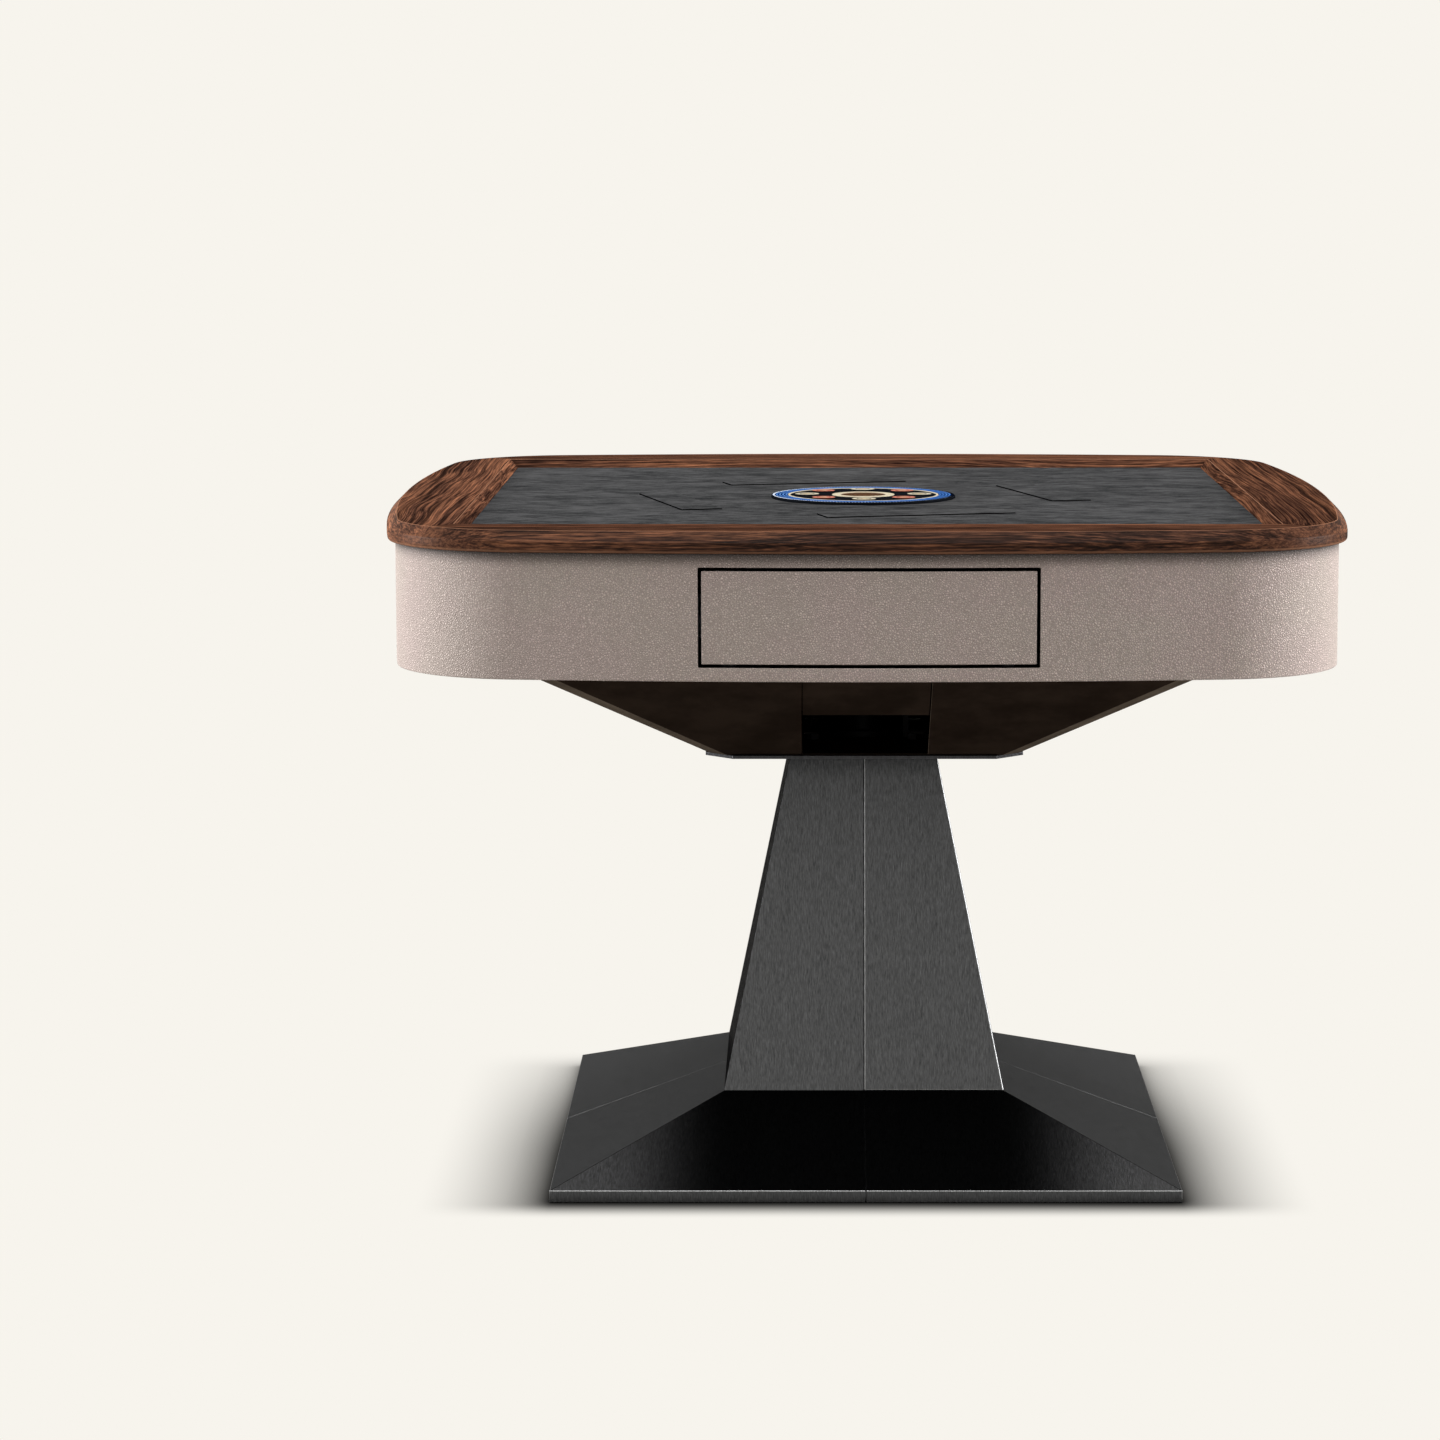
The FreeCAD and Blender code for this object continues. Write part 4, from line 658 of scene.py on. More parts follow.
@dataclass(frozen=True)
class BrushedFelt(Finish):
    """Charcoal playing felt with a nap brushed across the table."""

    title: str = "brushed_felt"
    dark: Colour = display(37, 38, 39)
    light: Colour = display(80, 80, 81)
    fibre: Colour = display(112, 112, 113)
    clouds: Lumps = Lumps((12.0, 22.0, 22.0), 5.0, 0.62, 0.3)
    streaks: Lumps = Lumps((36.0, 120.0, 120.0), 5.0, 0.75)
    fibres: Lumps = Lumps((300.0, 1100.0, 1100.0), 2.0, 0.7)
    cloud_share: float = 0.36
    nap_span: Span = (0.37, 0.63)
    fibre_span: Span = (0.50, 0.80)
    fibre_share: float = 0.35
    roughness: float = 0.95
    fibre_relief: float = 0.6
    streak_relief: float = 0.4
    relief: float = 0.0003
    strength: float = 0.6

    def paint(self, board: Board) -> None:
        """Lay clouds and streaks where the nap lies one way or the other, and fibres."""
        clouds, streaks, fibres = (
            board.noise(lumps) for lumps in (self.clouds, self.streaks, self.fibres))
        nap = clouds * self.cloud_share + streaks * (1.0 - self.cloud_share)
        colour = board.blend(nap.rise(*self.nap_span), self.dark, self.light)
        board.set_surface(
            base_color=board.blend(fibres.rise(*self.fibre_span) * self.fibre_share, colour,
                                   self.fibre),
            roughness=self.roughness, specular_ior_level=0.0,
            normal=board.bump(fibres * self.fibre_relief + streaks * self.streak_relief,
                              self.relief, self.strength))


@dataclass(frozen=True)
class Fibreboard(Finish):
    """Sanded wood-fibre board with small flecks."""

    title: str = "fibreboard"
    tone: Colour = display(160, 130, 98)
    fleck: Colour = display(120, 92, 66)
    fibres: Lumps = Lumps(700.0, 4.0, 0.7)
    clumps: Lumps = Lumps(120.0, 3.0, 0.6)
    fleck_span: Span = (0.2, 0.4)
    roughness: float = 0.85
    relief: float = 0.00015
    strength: float = 0.5

    def paint(self, board: Board) -> None:
        """Lay pressed fibres of two sizes."""
        fibres = board.noise(self.fibres)
        flecks = (fibres * board.noise(self.clumps)).rise(*self.fleck_span)
        board.set_surface(base_color=board.blend(flecks, self.tone, self.fleck),
                          roughness=self.roughness,
                          normal=board.bump(fibres, self.relief, self.strength))


@dataclass(frozen=True)
class ClearPane(Finish):
    """Thin polished pane that shows what lies under it."""

    title: str = "clear_pane"
    tint: Colour = display(150, 108, 78)
    wipes: Lumps = Lumps(160.0, 3.0)
    roughness: float = 0.05
    alpha: float = 0.16
    wipe_share: Span = (0.05, 0.06)

    def paint(self, board: Board) -> None:
        """Lay faint wiping marks on a nearly clear pane."""
        wipe = board.noise(self.wipes)
        board.set_surface(
            base_color=self.tint, roughness=self.roughness + wipe * self.wipe_share[0],
            specular_ior_level=0.0, alpha=self.alpha + wipe * self.wipe_share[1])


@dataclass(frozen=True)
class BeadedEnamel(Finish):
    """Blue enamel rings with rows of pale beads between them."""

    inner: float
    pitch: float
    beads: int
    title: str = "beaded_enamel"
    blue: Colour = display(36, 80, 150)
    deep: Colour = display(4, 7, 18)
    sky: Colour = display(112, 156, 204)
    pale: Colour = display(196, 206, 220)
    glaze: Lumps = Lumps(400.0)
    plain_rings: float = 4.0
    bead_span: Span = (0.45, 0.75)
    blue_span: Span = (0.15, 0.40)
    line_span: Span = (0.72, 0.92)
    pale_span: Span = (0.2, 0.5)
    least_line: float = 0.5
    roughness: float = 0.34
    glaze_dulling: float = 0.1
    relief: float = 0.0002
    strength: float = 0.5

    def paint(self, board: Board) -> None:
        """Lay rings by the radius and beads by the angle."""
        x, y, _ = board.split(board.place)
        ring = ((x * x + y * y) ** 0.5 - self.inner) / self.pitch
        ridge = 1.0 - abs(ring.remainder() - 0.5) * 2.0
        beads = ((y.heading(x) * float(self.beads)).wave() * 0.5 + 0.5).rise(*self.bead_span)
        outermost = ring.over(self.plain_rings)
        enamel = board.blend(ridge.rise(*self.blue_span), self.deep, self.blue)
        line = ridge.rise(*self.line_span) * (self.least_line + beads * (1.0 - self.least_line))
        lined = board.blend(line, enamel, self.sky)
        dark_gap = board.blend(outermost * (1.0 - beads), lined, self.deep)
        row = outermost * beads * ridge.rise(*self.pale_span)
        board.set_surface(
            base_color=board.blend(row, dark_gap, self.pale),
            roughness=self.roughness + board.noise(self.glaze) * self.glaze_dulling,
            specular_ior_level=0.0, normal=board.bump(beads * ridge, self.relief, self.strength))


SATIN_GOLD = MachinedMetal("satin_gold", display(178, 136, 78), roughness=0.3)
HOUSING_BLACK = MouldedPlastic("housing_black", display(26, 27, 31), roughness=0.45)


# Meshes.


WELD_DISTANCE = 1e-6
FLAT_ANGLE = math.radians(0.4)
CORNER_ANGLE = math.radians(36)
FOLD_ANGLE = math.radians(12)


class Draft:
    """Points and faces of one piece while it is drawn."""

    def __init__(self, name: str) -> None:
        """Start an empty draft of a named piece."""
        self.name = name
        self.points: list[Vector] = []
        self.faces: list[list[int]] = []

    def row(self, points: Sequence[Sequence[float]]) -> list[int]:
        """Add points and give their numbers."""
        first = len(self.points)
        self.points += [Vector(point) for point in points]
        return list(range(first, len(self.points)))

    def panel(self, first: Sequence[int], second: Sequence[int], low: int, high: int) -> None:
        """Join two points of a row and the same two of the next with one face."""
        self.faces.append([first[low], second[low], second[high], first[high]])

    def bridge(self, first: Sequence[int], second: Sequence[int]) -> None:
        """Join two closed rows with faces, either of which may be a single point.

        Args:
            first: Numbers of the one row's points.
            second: Numbers of the other row's points.
        """
        count = max(len(first), len(second))
        for index in range(count if count > 1 else 0):
            after = (index + 1) % count
            corners = [first[index % len(first)], first[after % len(first)],
                       second[after % len(second)], second[index % len(second)]]
            self.faces.append(list(dict.fromkeys(corners)))

    def sweep(self, rows: Sequence[Sequence[int]]) -> None:
        """Join each row with the next one, and close the first and the last."""
        for first, second in zip(rows, rows[1:]):
            self.bridge(first, second)
        self.faces += [list(rows[0]), list(rows[-1])]

    def wrap(self, rows: Sequence[Sequence[int]]) -> None:
        """Join each row with the next one, and the last with the first."""
        for first, second in zip(rows, [*rows[1:], rows[0]]):
            self.bridge(first, second)

    def build(self, finishes: Sequence[Finish]) -> bpy.types.Object:
        """Make the piece, with the first finish on all its faces.

        Args:
            finishes: Its finishes.

        Returns:
            The piece.
        """
        mesh = bpy.data.meshes.new(self.name)
        mesh.from_pydata(self.points, [], self.faces)
        return stand(mesh, finishes)


@contextmanager
def shaping(mesh: bpy.types.Mesh,
            source: bpy.types.Mesh | None = None) -> Iterator[bmesh.types.BMesh]:
    """Open a mesh for changes of its shape, and put the changed shape in it.

    Args:
        mesh: Mesh to change.
        source: Mesh to start from, or None for the same one.

    Yields:
        The shape to change.
    """
    shape = bmesh.new()
    shape.from_mesh(source or mesh)
    yield shape
    shape.to_mesh(mesh)
    shape.free()


def link(name: str, data: bpy.types.ID) -> bpy.types.Object:
    """Put a new object in the scene."""
    made = bpy.data.objects.new(name, data)
    bpy.context.scene.collection.objects.link(made)
    return made


def stand(mesh: bpy.types.Mesh, finishes: Sequence[Finish]) -> bpy.types.Object:
    """Put a mesh in the scene as a piece, with its faces turned outward.

    Args:
        mesh: Closed mesh of the piece.
        finishes: Finishes of the piece.

    Returns:
        The new object.
    """
    with shaping(mesh) as shape:
        bmesh.ops.remove_doubles(shape, verts=shape.verts, dist=WELD_DISTANCE)
        bmesh.ops.recalc_face_normals(shape, faces=shape.faces)
    for finish in finishes:
        mesh.materials.append(finish.material())
    return link(mesh.name, mesh)


def soften(piece: bpy.types.Object, width: float = 0.0, steps: int = 2,
           crease: float = CORNER_ANGLE, edge_slot: int = -1) -> bpy.types.Object:
    """Round the sharp edges of a piece and shade its flat faces flat.

    Args:
        piece: Piece to change.
        width: Width of each rounded edge, or 0 to leave the edges.
        steps: Number of faces across an edge.
        crease: Least angle that stays a crease, in radians.
        edge_slot: Number of the finish on the rounded edges, or -1 for that beside them.

    Returns:
        The same piece.
    """
    piece.data.shade_smooth()
    piece.data.set_sharp_from_angle(angle=crease)
    if width:
        bevel = piece.modifiers.new("edges", "BEVEL")
        settings = {"width": width, "segments": steps, "limit_method": "ANGLE",
                    "angle_limit": CORNER_ANGLE, "use_clamp_overlap": False,
                    "harden_normals": True, "material": edge_slot}
        for name, value in settings.items():
            setattr(bevel, name, value)
    piece.modifiers.new("shading", "WEIGHTED_NORMAL").keep_sharp = True
    depsgraph = bpy.context.evaluated_depsgraph_get()
    finished = bpy.data.meshes.new_from_object(
        piece.evaluated_get(depsgraph), preserve_all_data_layers=True, depsgraph=depsgraph)
    piece.modifiers.clear()
    rough, piece.data = piece.data, finished
    bpy.data.meshes.remove(rough)
    return piece


def paint_faces(piece: bpy.types.Object, slot: int,
                is_chosen: Callable[[bpy.types.MeshPolygon], bool]) -> None:
    """Give some faces of a piece another of its finishes.

    Args:
        piece: Piece to change.
        slot: Number of the finish.
        is_chosen: Test that a face has to pass.
    """
    for polygon in piece.data.polygons:
        if is_chosen(polygon):
            polygon.material_index = slot


def copy_node(node: str, name: str, finishes: Sequence[Finish]) -> bpy.types.Object:
    """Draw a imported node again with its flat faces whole.

    Args:
        node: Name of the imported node.
        name: Name of the new piece.
        finishes: Finishes of the new piece.

    Returns:
        The new piece.
    """
    mesh = bpy.data.meshes.new(name)
    with shaping(mesh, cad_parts[node].data) as shape:
        bmesh.ops.remove_doubles(shape, verts=shape.verts, dist=WELD_DISTANCE)
        bmesh.ops.dissolve_limit(
            shape, angle_limit=FLAT_ANGLE, verts=shape.verts, edges=shape.edges)
    return stand(mesh, finishes)


def circle(radius: float, level: float, steps: int, centre: Span = (0.0, 0.0)) -> list[Point]:
    """Give the points of a level circle.

    Args:
        radius: Its radius.
        level: Its level.
        steps: Number of points.
        centre: Place of its centre.

    Returns:
        Its points.
    """
    angles = (math.tau * step / steps for step in range(steps))
    return [(centre[0] + radius * math.cos(angle), centre[1] + radius * math.sin(angle), level)
            for angle in angles]


def lathe(name: str, profile: Sequence[Span], finishes: Sequence[Finish], steps: int = 96,
          centre: Span = (0.0, 0.0)) -> bpy.types.Object:
    """Turn a closed profile about an upright axis.

    Args:
        name: Name of the piece.
        profile: Radius and level of each point. A radius of 0 is on the axis.
        finishes: Finishes of the piece.
        steps: Number of faces round the axis.
        centre: Place of the axis.

    Returns:
        The new piece.
    """
    draft = Draft(name)
    draft.wrap([draft.row(circle(radius, level, steps, centre) if radius else [(*centre, level)])
                for radius, level in profile])
    return soften(draft.build(finishes))


def arc(across: float, level: float, radius: float, start: float, end: float,
        steps: int = 4) -> list[Span]:
    """Draw an arc of a profile.

    Args:
        across: Place of its centre across the profile.
        level: Level of its centre.
        radius: Its radius.
        start: Angle of its first point, in degrees.
        end: Angle of its last point, in degrees.
        steps: Number of straight stretches.

    Returns:
        Its points.
    """
    angles = [math.radians(start + (end - start) * step / steps) for step in range(steps + 1)]
    return [(across + radius * math.cos(angle), level + radius * math.sin(angle))
            for angle in angles]


def place(piece: bpy.types.Object, body: str, slot: str, *nodes: str) -> bpy.types.Object:
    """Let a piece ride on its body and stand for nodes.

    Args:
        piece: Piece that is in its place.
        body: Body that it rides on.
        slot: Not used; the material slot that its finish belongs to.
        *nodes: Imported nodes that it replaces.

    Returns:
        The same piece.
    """
    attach(piece, body)
    if nodes:
        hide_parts(*nodes)
    LOG.info("%s rides on %s, %d faces", piece.name, body, len(piece.data.polygons))
    return piece


def dress(node: str, finish: Finish) -> None:
    """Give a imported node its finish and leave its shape."""
    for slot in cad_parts[node].material_slots:
        slot.material = finish.material()
    LOG.info("%s keeps its shape", node)


@dataclass(frozen=True)
class BowedOutline:
    """Outline of the top: bowed sides and round corners about shared centres.

    A point of the outline is found by its heading, the direction that it faces.
    Every inset has the same centres, so a heading gives matching points on all.
    """

    half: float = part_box("rim_right")[1].x
    side_radius: float = 3.27
    corner_radius: float = 0.157
    side_steps: int = 16
    corner_steps: int = 18

    @property
    def beyond(self) -> float:
        """Distance from the middle to the centre of a side's arc."""
        return self.side_radius - self.half

    @property
    def corner_place(self) -> float:
        """Distance from the middle to the centre of a corner's arc, along X or Y."""
        gap = self.side_radius - self.corner_radius
        return (math.sqrt(8 * gap ** 2 - 4 * self.beyond ** 2) - 2 * self.beyond) / 4

    @property
    def lean(self) -> float:
        """Heading at which a side's arc meets a corner's arc, in radians."""
        return math.atan2(self.corner_place, self.beyond + self.corner_place)

    def point(self, heading: float, inset: float) -> Span:
        """Find a point of the right side, or of the corners at its ends.

        Args:
            heading: Direction that the point faces, within 45 degrees of +X, in radians.
            inset: How far the outline is drawn in.

        Returns:
            The point's X and Y.
        """
        if abs(heading) <= self.lean:
            radius = self.side_radius - inset
            return radius * math.cos(heading) - self.beyond, radius * math.sin(heading)
        radius = self.corner_radius - inset
        side = math.copysign(self.corner_place, heading)
        return self.corner_place + radius * math.cos(heading), side + radius * math.sin(heading)

    def side_heading(self, along: float, inset: float) -> float:
        """Find the heading of the point of the right side at a given Y."""
        return math.asin(along / (self.side_radius - inset))

    @property
    def headings(self) -> list[float]:
        """Headings from -45 to 45 degrees over one side and its half corners, in radians."""
        side = [self.lean * (2 * step / self.side_steps - 1)
                for step in range(self.side_steps + 1)]
        corner = [self.lean + (math.pi / 4 - self.lean) * step / self.corner_steps
                  for step in range(1, self.corner_steps + 1)]
        return [-heading for heading in reversed(corner)] + side + corner


OUTLINE = BowedOutline()


# Sub-assemblies.


@dataclass
class WalnutRim:
    """Four mitred rails with a chamfer outside and a bevel down to the felt."""

    felt_half: float = 0.429
    ledge_width: float = 0.016
    ledge_inset: float = 0.0213
    bevel: float = 0.010
    chamfer: float = 0.011
    foot_round: float = 0.004
    edge_round: float = 0.0022
    top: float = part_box("rim_right")[1].z
    ledge_foot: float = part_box("rim_right")[0].z
    board_foot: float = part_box("tabletop_board")[0].z
    height: float = 0.023
    short_pace: float = 2.0
    long_pace: float = 0.5
    # Each rail's gain is painted light: the left rail is painted lighter and the right one darker,
    # following how the light falls on each side.
    painted_light_gain: dict[Side, float] = field(default_factory=lambda: {
        Side.RIGHT: 0.92, Side.BACK: 1.15, Side.LEFT: 1.45, Side.FRONT: 1.05})

    @property
    def setback(self) -> float:
        """Distance from a folded corner to the start of its rounding."""
        return self.edge_round * math.tan(math.pi / 8)

    def outer_profile(self) -> list[Span]:
        """Give inset and level of the outside, from the underside up to the top."""
        foot = self.top - self.height
        level = self.top - self.chamfer - self.setback
        return ([(self.ledge_inset, self.ledge_foot), (self.ledge_inset, foot)]
                + arc(self.foot_round, foot + self.foot_round, self.foot_round, 270, 180, 6)
                + arc(self.edge_round, level, self.edge_round, 180, 135)
                + arc(self.chamfer + self.setback, self.top - self.edge_round,
                      self.edge_round, 135, 90))

    def inner_profile(self) -> list[Span]:
        """Give half width and level of the inside, from the top down to the ledge."""
        crown = self.felt_half + self.bevel + self.setback
        ledge_half = self.felt_half - self.ledge_width
        return (arc(crown, self.top - self.edge_round, self.edge_round, 90, 135)
                + [(self.felt_half, self.top - self.bevel), (self.felt_half, self.board_foot),
                   (ledge_half, self.board_foot), (ledge_half, self.ledge_foot)])

    def rail(self, side: Side) -> bpy.types.Object:
        """Draw one rail between two mitres.

        Args:
            side: Side of the table that it is on.

        Returns:
            The rail.
        """
        draft = Draft("walnut_rail_" + side.word)
        turn = side.turn
        reach = OUTLINE.point(math.pi / 4, 0.0)[1]
        rows = []
        for heading in OUTLINE.headings:
            share = OUTLINE.point(heading, 0.0)[1] / reach
            section = [(*OUTLINE.point(heading, inset), level)
                       for inset, level in self.outer_profile()]
            section += [(half, half * share, level) for half, level in self.inner_profile()]
            rows.append(draft.row([turn @ Vector(point) for point in section]))
        draft.sweep(rows)
        is_short = side in (Side.FRONT, Side.BACK)
        return soften(draft.build([OiledWalnut(
            "oiled_walnut_" + side.word, Grain.ACROSS if is_short else Grain.ALONG,
            self.short_pace if is_short else self.long_pace, self.painted_light_gain[side])]))

    def make(self) -> None:
        """Build the four rails."""
        for side in Side:
            place(self.rail(side), "root", "walnut", "rim_" + side.word)


@dataclass
class LeatherSkirt:
    """Leather-covered wall under the rim, and the four drawer faces in it."""

    insets: Span = (0.009, 0.021)
    gap: float = 0.0034
    edge: float = 0.0011
    edge_steps: int = 3
    wall_lean: float = 0.55
    wall_reach: float = 0.001
    wall_margin: float = 0.006
    face_steps: int = 12
    least_turn: float = math.radians(0.2)
    # The gap walls' near black is painted shade in the drawers' gaps.
    gap_shade_paint: Finish = MouldedPlastic("gap_shade_black", display(7, 7, 7), roughness=0.7, gloss=0.0)
    low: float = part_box("skirt")[0].z
    high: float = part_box("skirt")[1].z
    drawer_half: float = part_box("drawer_face_front")[1].x
    drawer_low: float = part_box("drawer_face_front")[0].z
    drawer_high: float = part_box("drawer_face_front")[1].z

    def line_at(self, along: float) -> Span:
        """Give the outer and inner heading of the upright line at a Y of the right side."""
        return tuple(OUTLINE.side_heading(along, inset) for inset in self.insets)

    def station(self, line: Span, levels: Sequence[float], turn: Matrix) -> list[Vector]:
        """Give the outer points of one upright line of the wall, then its inner points."""
        return [turn @ Vector((*OUTLINE.point(heading, inset), level))
                for heading, inset in zip(line, self.insets) for level in levels]

    def is_gap_wall(self, polygon: bpy.types.MeshPolygon, out: Vector, half: float) -> bool:
        """Tell whether a face is a wall of one drawer's gap.

        Args:
            polygon: Face of the wall or of a drawer face.
            out: Direction that the drawer faces.
            half: Half width of the gap's walls.

        Returns:
            True if it is.
        """
        centre, depth = polygon.center, polygon.center.dot(out)
        return (depth > 0 and abs(polygon.normal.dot(out)) < self.wall_lean
                and (centre - out * depth).xy.length < half + self.wall_reach
                and self.drawer_low - self.wall_margin < centre.z
                and centre.z < self.drawer_high + self.wall_margin)

    def finished(self, draft: Draft, sides: Sequence[Side], half: float) -> bpy.types.Object:
        """Build the wall or a face in leather, with the walls of each drawer's gap near black as
        painted shade.

        Args:
            draft: Drawing of the piece.
            sides: Sides whose gaps the piece borders.
            half: Half width of the gap's walls.

        Returns:
            The piece.
        """
        piece = soften(draft.build([PebbledLeather(), self.gap_shade_paint]), self.edge, self.edge_steps)
        outs = [side.turn @ Vector((1.0, 0.0, 0.0)) for side in sides]
        paint_faces(piece, 1, lambda polygon: any(
            self.is_gap_wall(polygon, out, half) for out in outs))
        return piece

    def wall(self) -> bpy.types.Object:
        """Draw the wall with a window for each drawer."""
        levels = (self.low, self.drawer_low - self.gap, self.drawer_high + self.gap, self.high)
        count = len(levels)
        window = self.drawer_half + self.gap
        edge = self.line_at(window)[0]
        lines = [(heading, heading) for heading in OUTLINE.headings[:-1]
                 if abs(abs(heading) - edge) > self.least_turn]
        lines = sorted([*lines, self.line_at(-window), self.line_at(window)])
        draft = Draft("leather_skirt")
        rows = [draft.row(self.station(line, levels, side.turn)) for side in Side
                for line in lines]
        opened = [-edge - WELD_DISTANCE < line[0] < edge - WELD_DISTANCE
                  for _ in Side for line in lines]
        for index, row in enumerate(rows):
            following = rows[(index + 1) % len(rows)]
            bands, flats = ((0, 2), range(count)) if opened[index] else ((0, 1, 2), (0, 3))
            pairs = [(low, low + 1) for band in bands for low in (band, band + count)]
            for low, high in pairs + [(flat, flat + count) for flat in flats]:
                draft.panel(row, following, low, high)
            if opened[index] != opened[index - 1]:
                draft.faces.append([row[1], row[2], row[2 + count], row[1 + count]])
        return self.finished(draft, list(Side), window)

    def face(self, side: Side) -> bpy.types.Object:
        """Draw one drawer face.

        Args:
            side: Side of the table that it is on.

        Returns:
            The face.
        """
        draft = Draft("drawer_front_" + side.word)
        rows = []
        for step in range(self.face_steps + 1):
            along = self.drawer_half * (2 * step / self.face_steps - 1)
            low_out, high_out, low_in, high_in = self.station(
                self.line_at(along), (self.drawer_low, self.drawer_high), side.turn)
            rows.append(draft.row((low_out, high_out, high_in, low_in)))
        draft.sweep(rows)
        return self.finished(draft, [side], self.drawer_half)

    def make(self) -> None:
        """Build the wall and the four faces."""
        place(self.wall(), "root", "leather_taupe", "skirt")
        for side in Side:
            place(self.face(side), "drawer_" + side.word, "leather_taupe",
                  "drawer_face_" + side.word)


@dataclass
class PlayingSurface:
    """Felt over the board, and the four felt-topped hatch lids."""

    half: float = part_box("felt_mat")[1].x
    low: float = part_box("felt_mat")[0].z
    high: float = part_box("felt_mat")[1].z
    hole_radius: float = 0.103
    hole_steps: int = 120
    slot_inner: float = 0.1945
    slot_width: float = 0.0475
    slot_half_length: float = 0.109
    turn: float = math.radians(15)
    lid_rise: float = 0.0012
    edge: float = 0.0003
    rim_margin: float = 0.001
    wall_lean: float = 0.5
    # gap_shade is near black on the lids' sides and rounded edges and on the felt's cut walls:
    # partly the lids' own black body, partly painted shade in the gaps of the slots.
    gap_shade: Finish = MouldedPlastic("slot_gap_shade", display(7, 7, 8), roughness=0.7, gloss=0.0)

    def slots(self) -> list[list[Vector]]:
        """Give the corners of the four hatch slots."""
        outer, half = self.slot_inner + self.slot_width, self.slot_half_length
        corners = ((self.slot_inner, -half), (outer, -half), (outer, half),
                   (self.slot_inner, half))
        return [[Matrix.Rotation(self.turn + side.angle, 2) @ Vector(corner)
                 for corner in corners] for side in Side]

    def is_open(self, point: Vector) -> bool:
        """Tell whether a point of the plane is inside the hole or a slot."""
        turned = (Matrix.Rotation(-self.turn - side.angle, 2) @ point for side in Side)
        return point.length < self.hole_radius or any(
            0 < local.x - self.slot_inner < self.slot_width
            and abs(local.y) < self.slot_half_length for local in turned)

    def felt(self) -> bpy.types.Object:
        """Draw the felt as one thin closed sheet with its cut-outs."""
        square = [Vector((x * self.half, y * self.half))
                  for x, y in ((-1, -1), (1, -1), (1, 1), (-1, 1))]
        hole = [Vector(point[:2]) for point in circle(self.hole_radius, 0.0, self.hole_steps)]
        points: list[Vector] = []
        edges: list[tuple[int, int]] = []
        for loop in (square, hole, *self.slots()):
            first = len(points)
            points += loop
            edges += [(first + index, first + (index + 1) % len(loop))
                      for index in range(len(loop))]
        flat_points, _, triangles, *_ = delaunay_2d_cdt(points, edges, [], 0, WELD_DISTANCE)
        mesh = bpy.data.meshes.new("playing_felt")
        with shaping(mesh) as shape:
            corners = [shape.verts.new((point.x, point.y, self.high)) for point in flat_points]
            for triangle in triangles:
                middle = sum((flat_points[index] for index in triangle), Vector((0.0, 0.0))) / 3
                if not self.is_open(middle):
                    shape.faces.new([corners[index] for index in triangle])
            lower = bmesh.ops.extrude_face_region(shape, geom=shape.faces[:])["geom"]
            bmesh.ops.translate(
                shape, vec=(0.0, 0.0, self.low - self.high),
                verts=[item for item in lower if isinstance(item, bmesh.types.BMVert)])
        piece = soften(stand(mesh, [BrushedFelt(), self.gap_shade]), self.edge)
        inner = self.half - self.rim_margin
        # Painted shade: the felt's walls round the hole and the slots get the near-black gap
        # finish.
        paint_faces(piece, 1, lambda polygon: (
            max(abs(polygon.center.x), abs(polygon.center.y)) < inner
            and abs(polygon.normal.z) < self.wall_lean))
        return piece

    def lid(self, side: Side) -> bpy.types.Object:
        """Draw one hatch lid with felt on its top.

        Args:
            side: Side of the table that it is towards.

        Returns:
            The lid.
        """
        piece = copy_node("hatch_lid_" + side.word, "ramp_lid_" + side.word,
                          [self.gap_shade, BrushedFelt()])
        for vertex in piece.data.vertices:
            if vertex.co.z > self.low:
                vertex.co.z += self.lid_rise
        soften(piece, self.edge)
        # Only the lid's flatter top faces keep the felt; its steeper rounded felt edge stays near
        # black as painted shade in the gap.
        paint_faces(piece, 1, lambda polygon: (
            polygon.normal.z > self.wall_lean and polygon.center.z > self.low))
        return piece

    def make(self) -> None:
        """Build the felt and the lids."""
        felt = place(self.felt(), "root", "felt_grey", "felt_mat")
        for edge in Side:
            place(self.lid(edge), "hatch_" + edge.word, "felt_grey", "hatch_lid_" + edge.word)
        dress("tabletop_board", Fibreboard())


# Pips of a die by the direction of their face, each in a cell of a 3 by 3 grid.
DIE_FACES = {(0, -1, 0): (4,), (0, 1, 0): (0, 3, 6, 2, 5, 8), (1, 0, 0): (0, 8),
             (-1, 0, 0): (0, 6, 2, 8, 4), (0, 0, -1): (0, 4, 8), (0, 0, 1): (0, 6, 2, 8)}


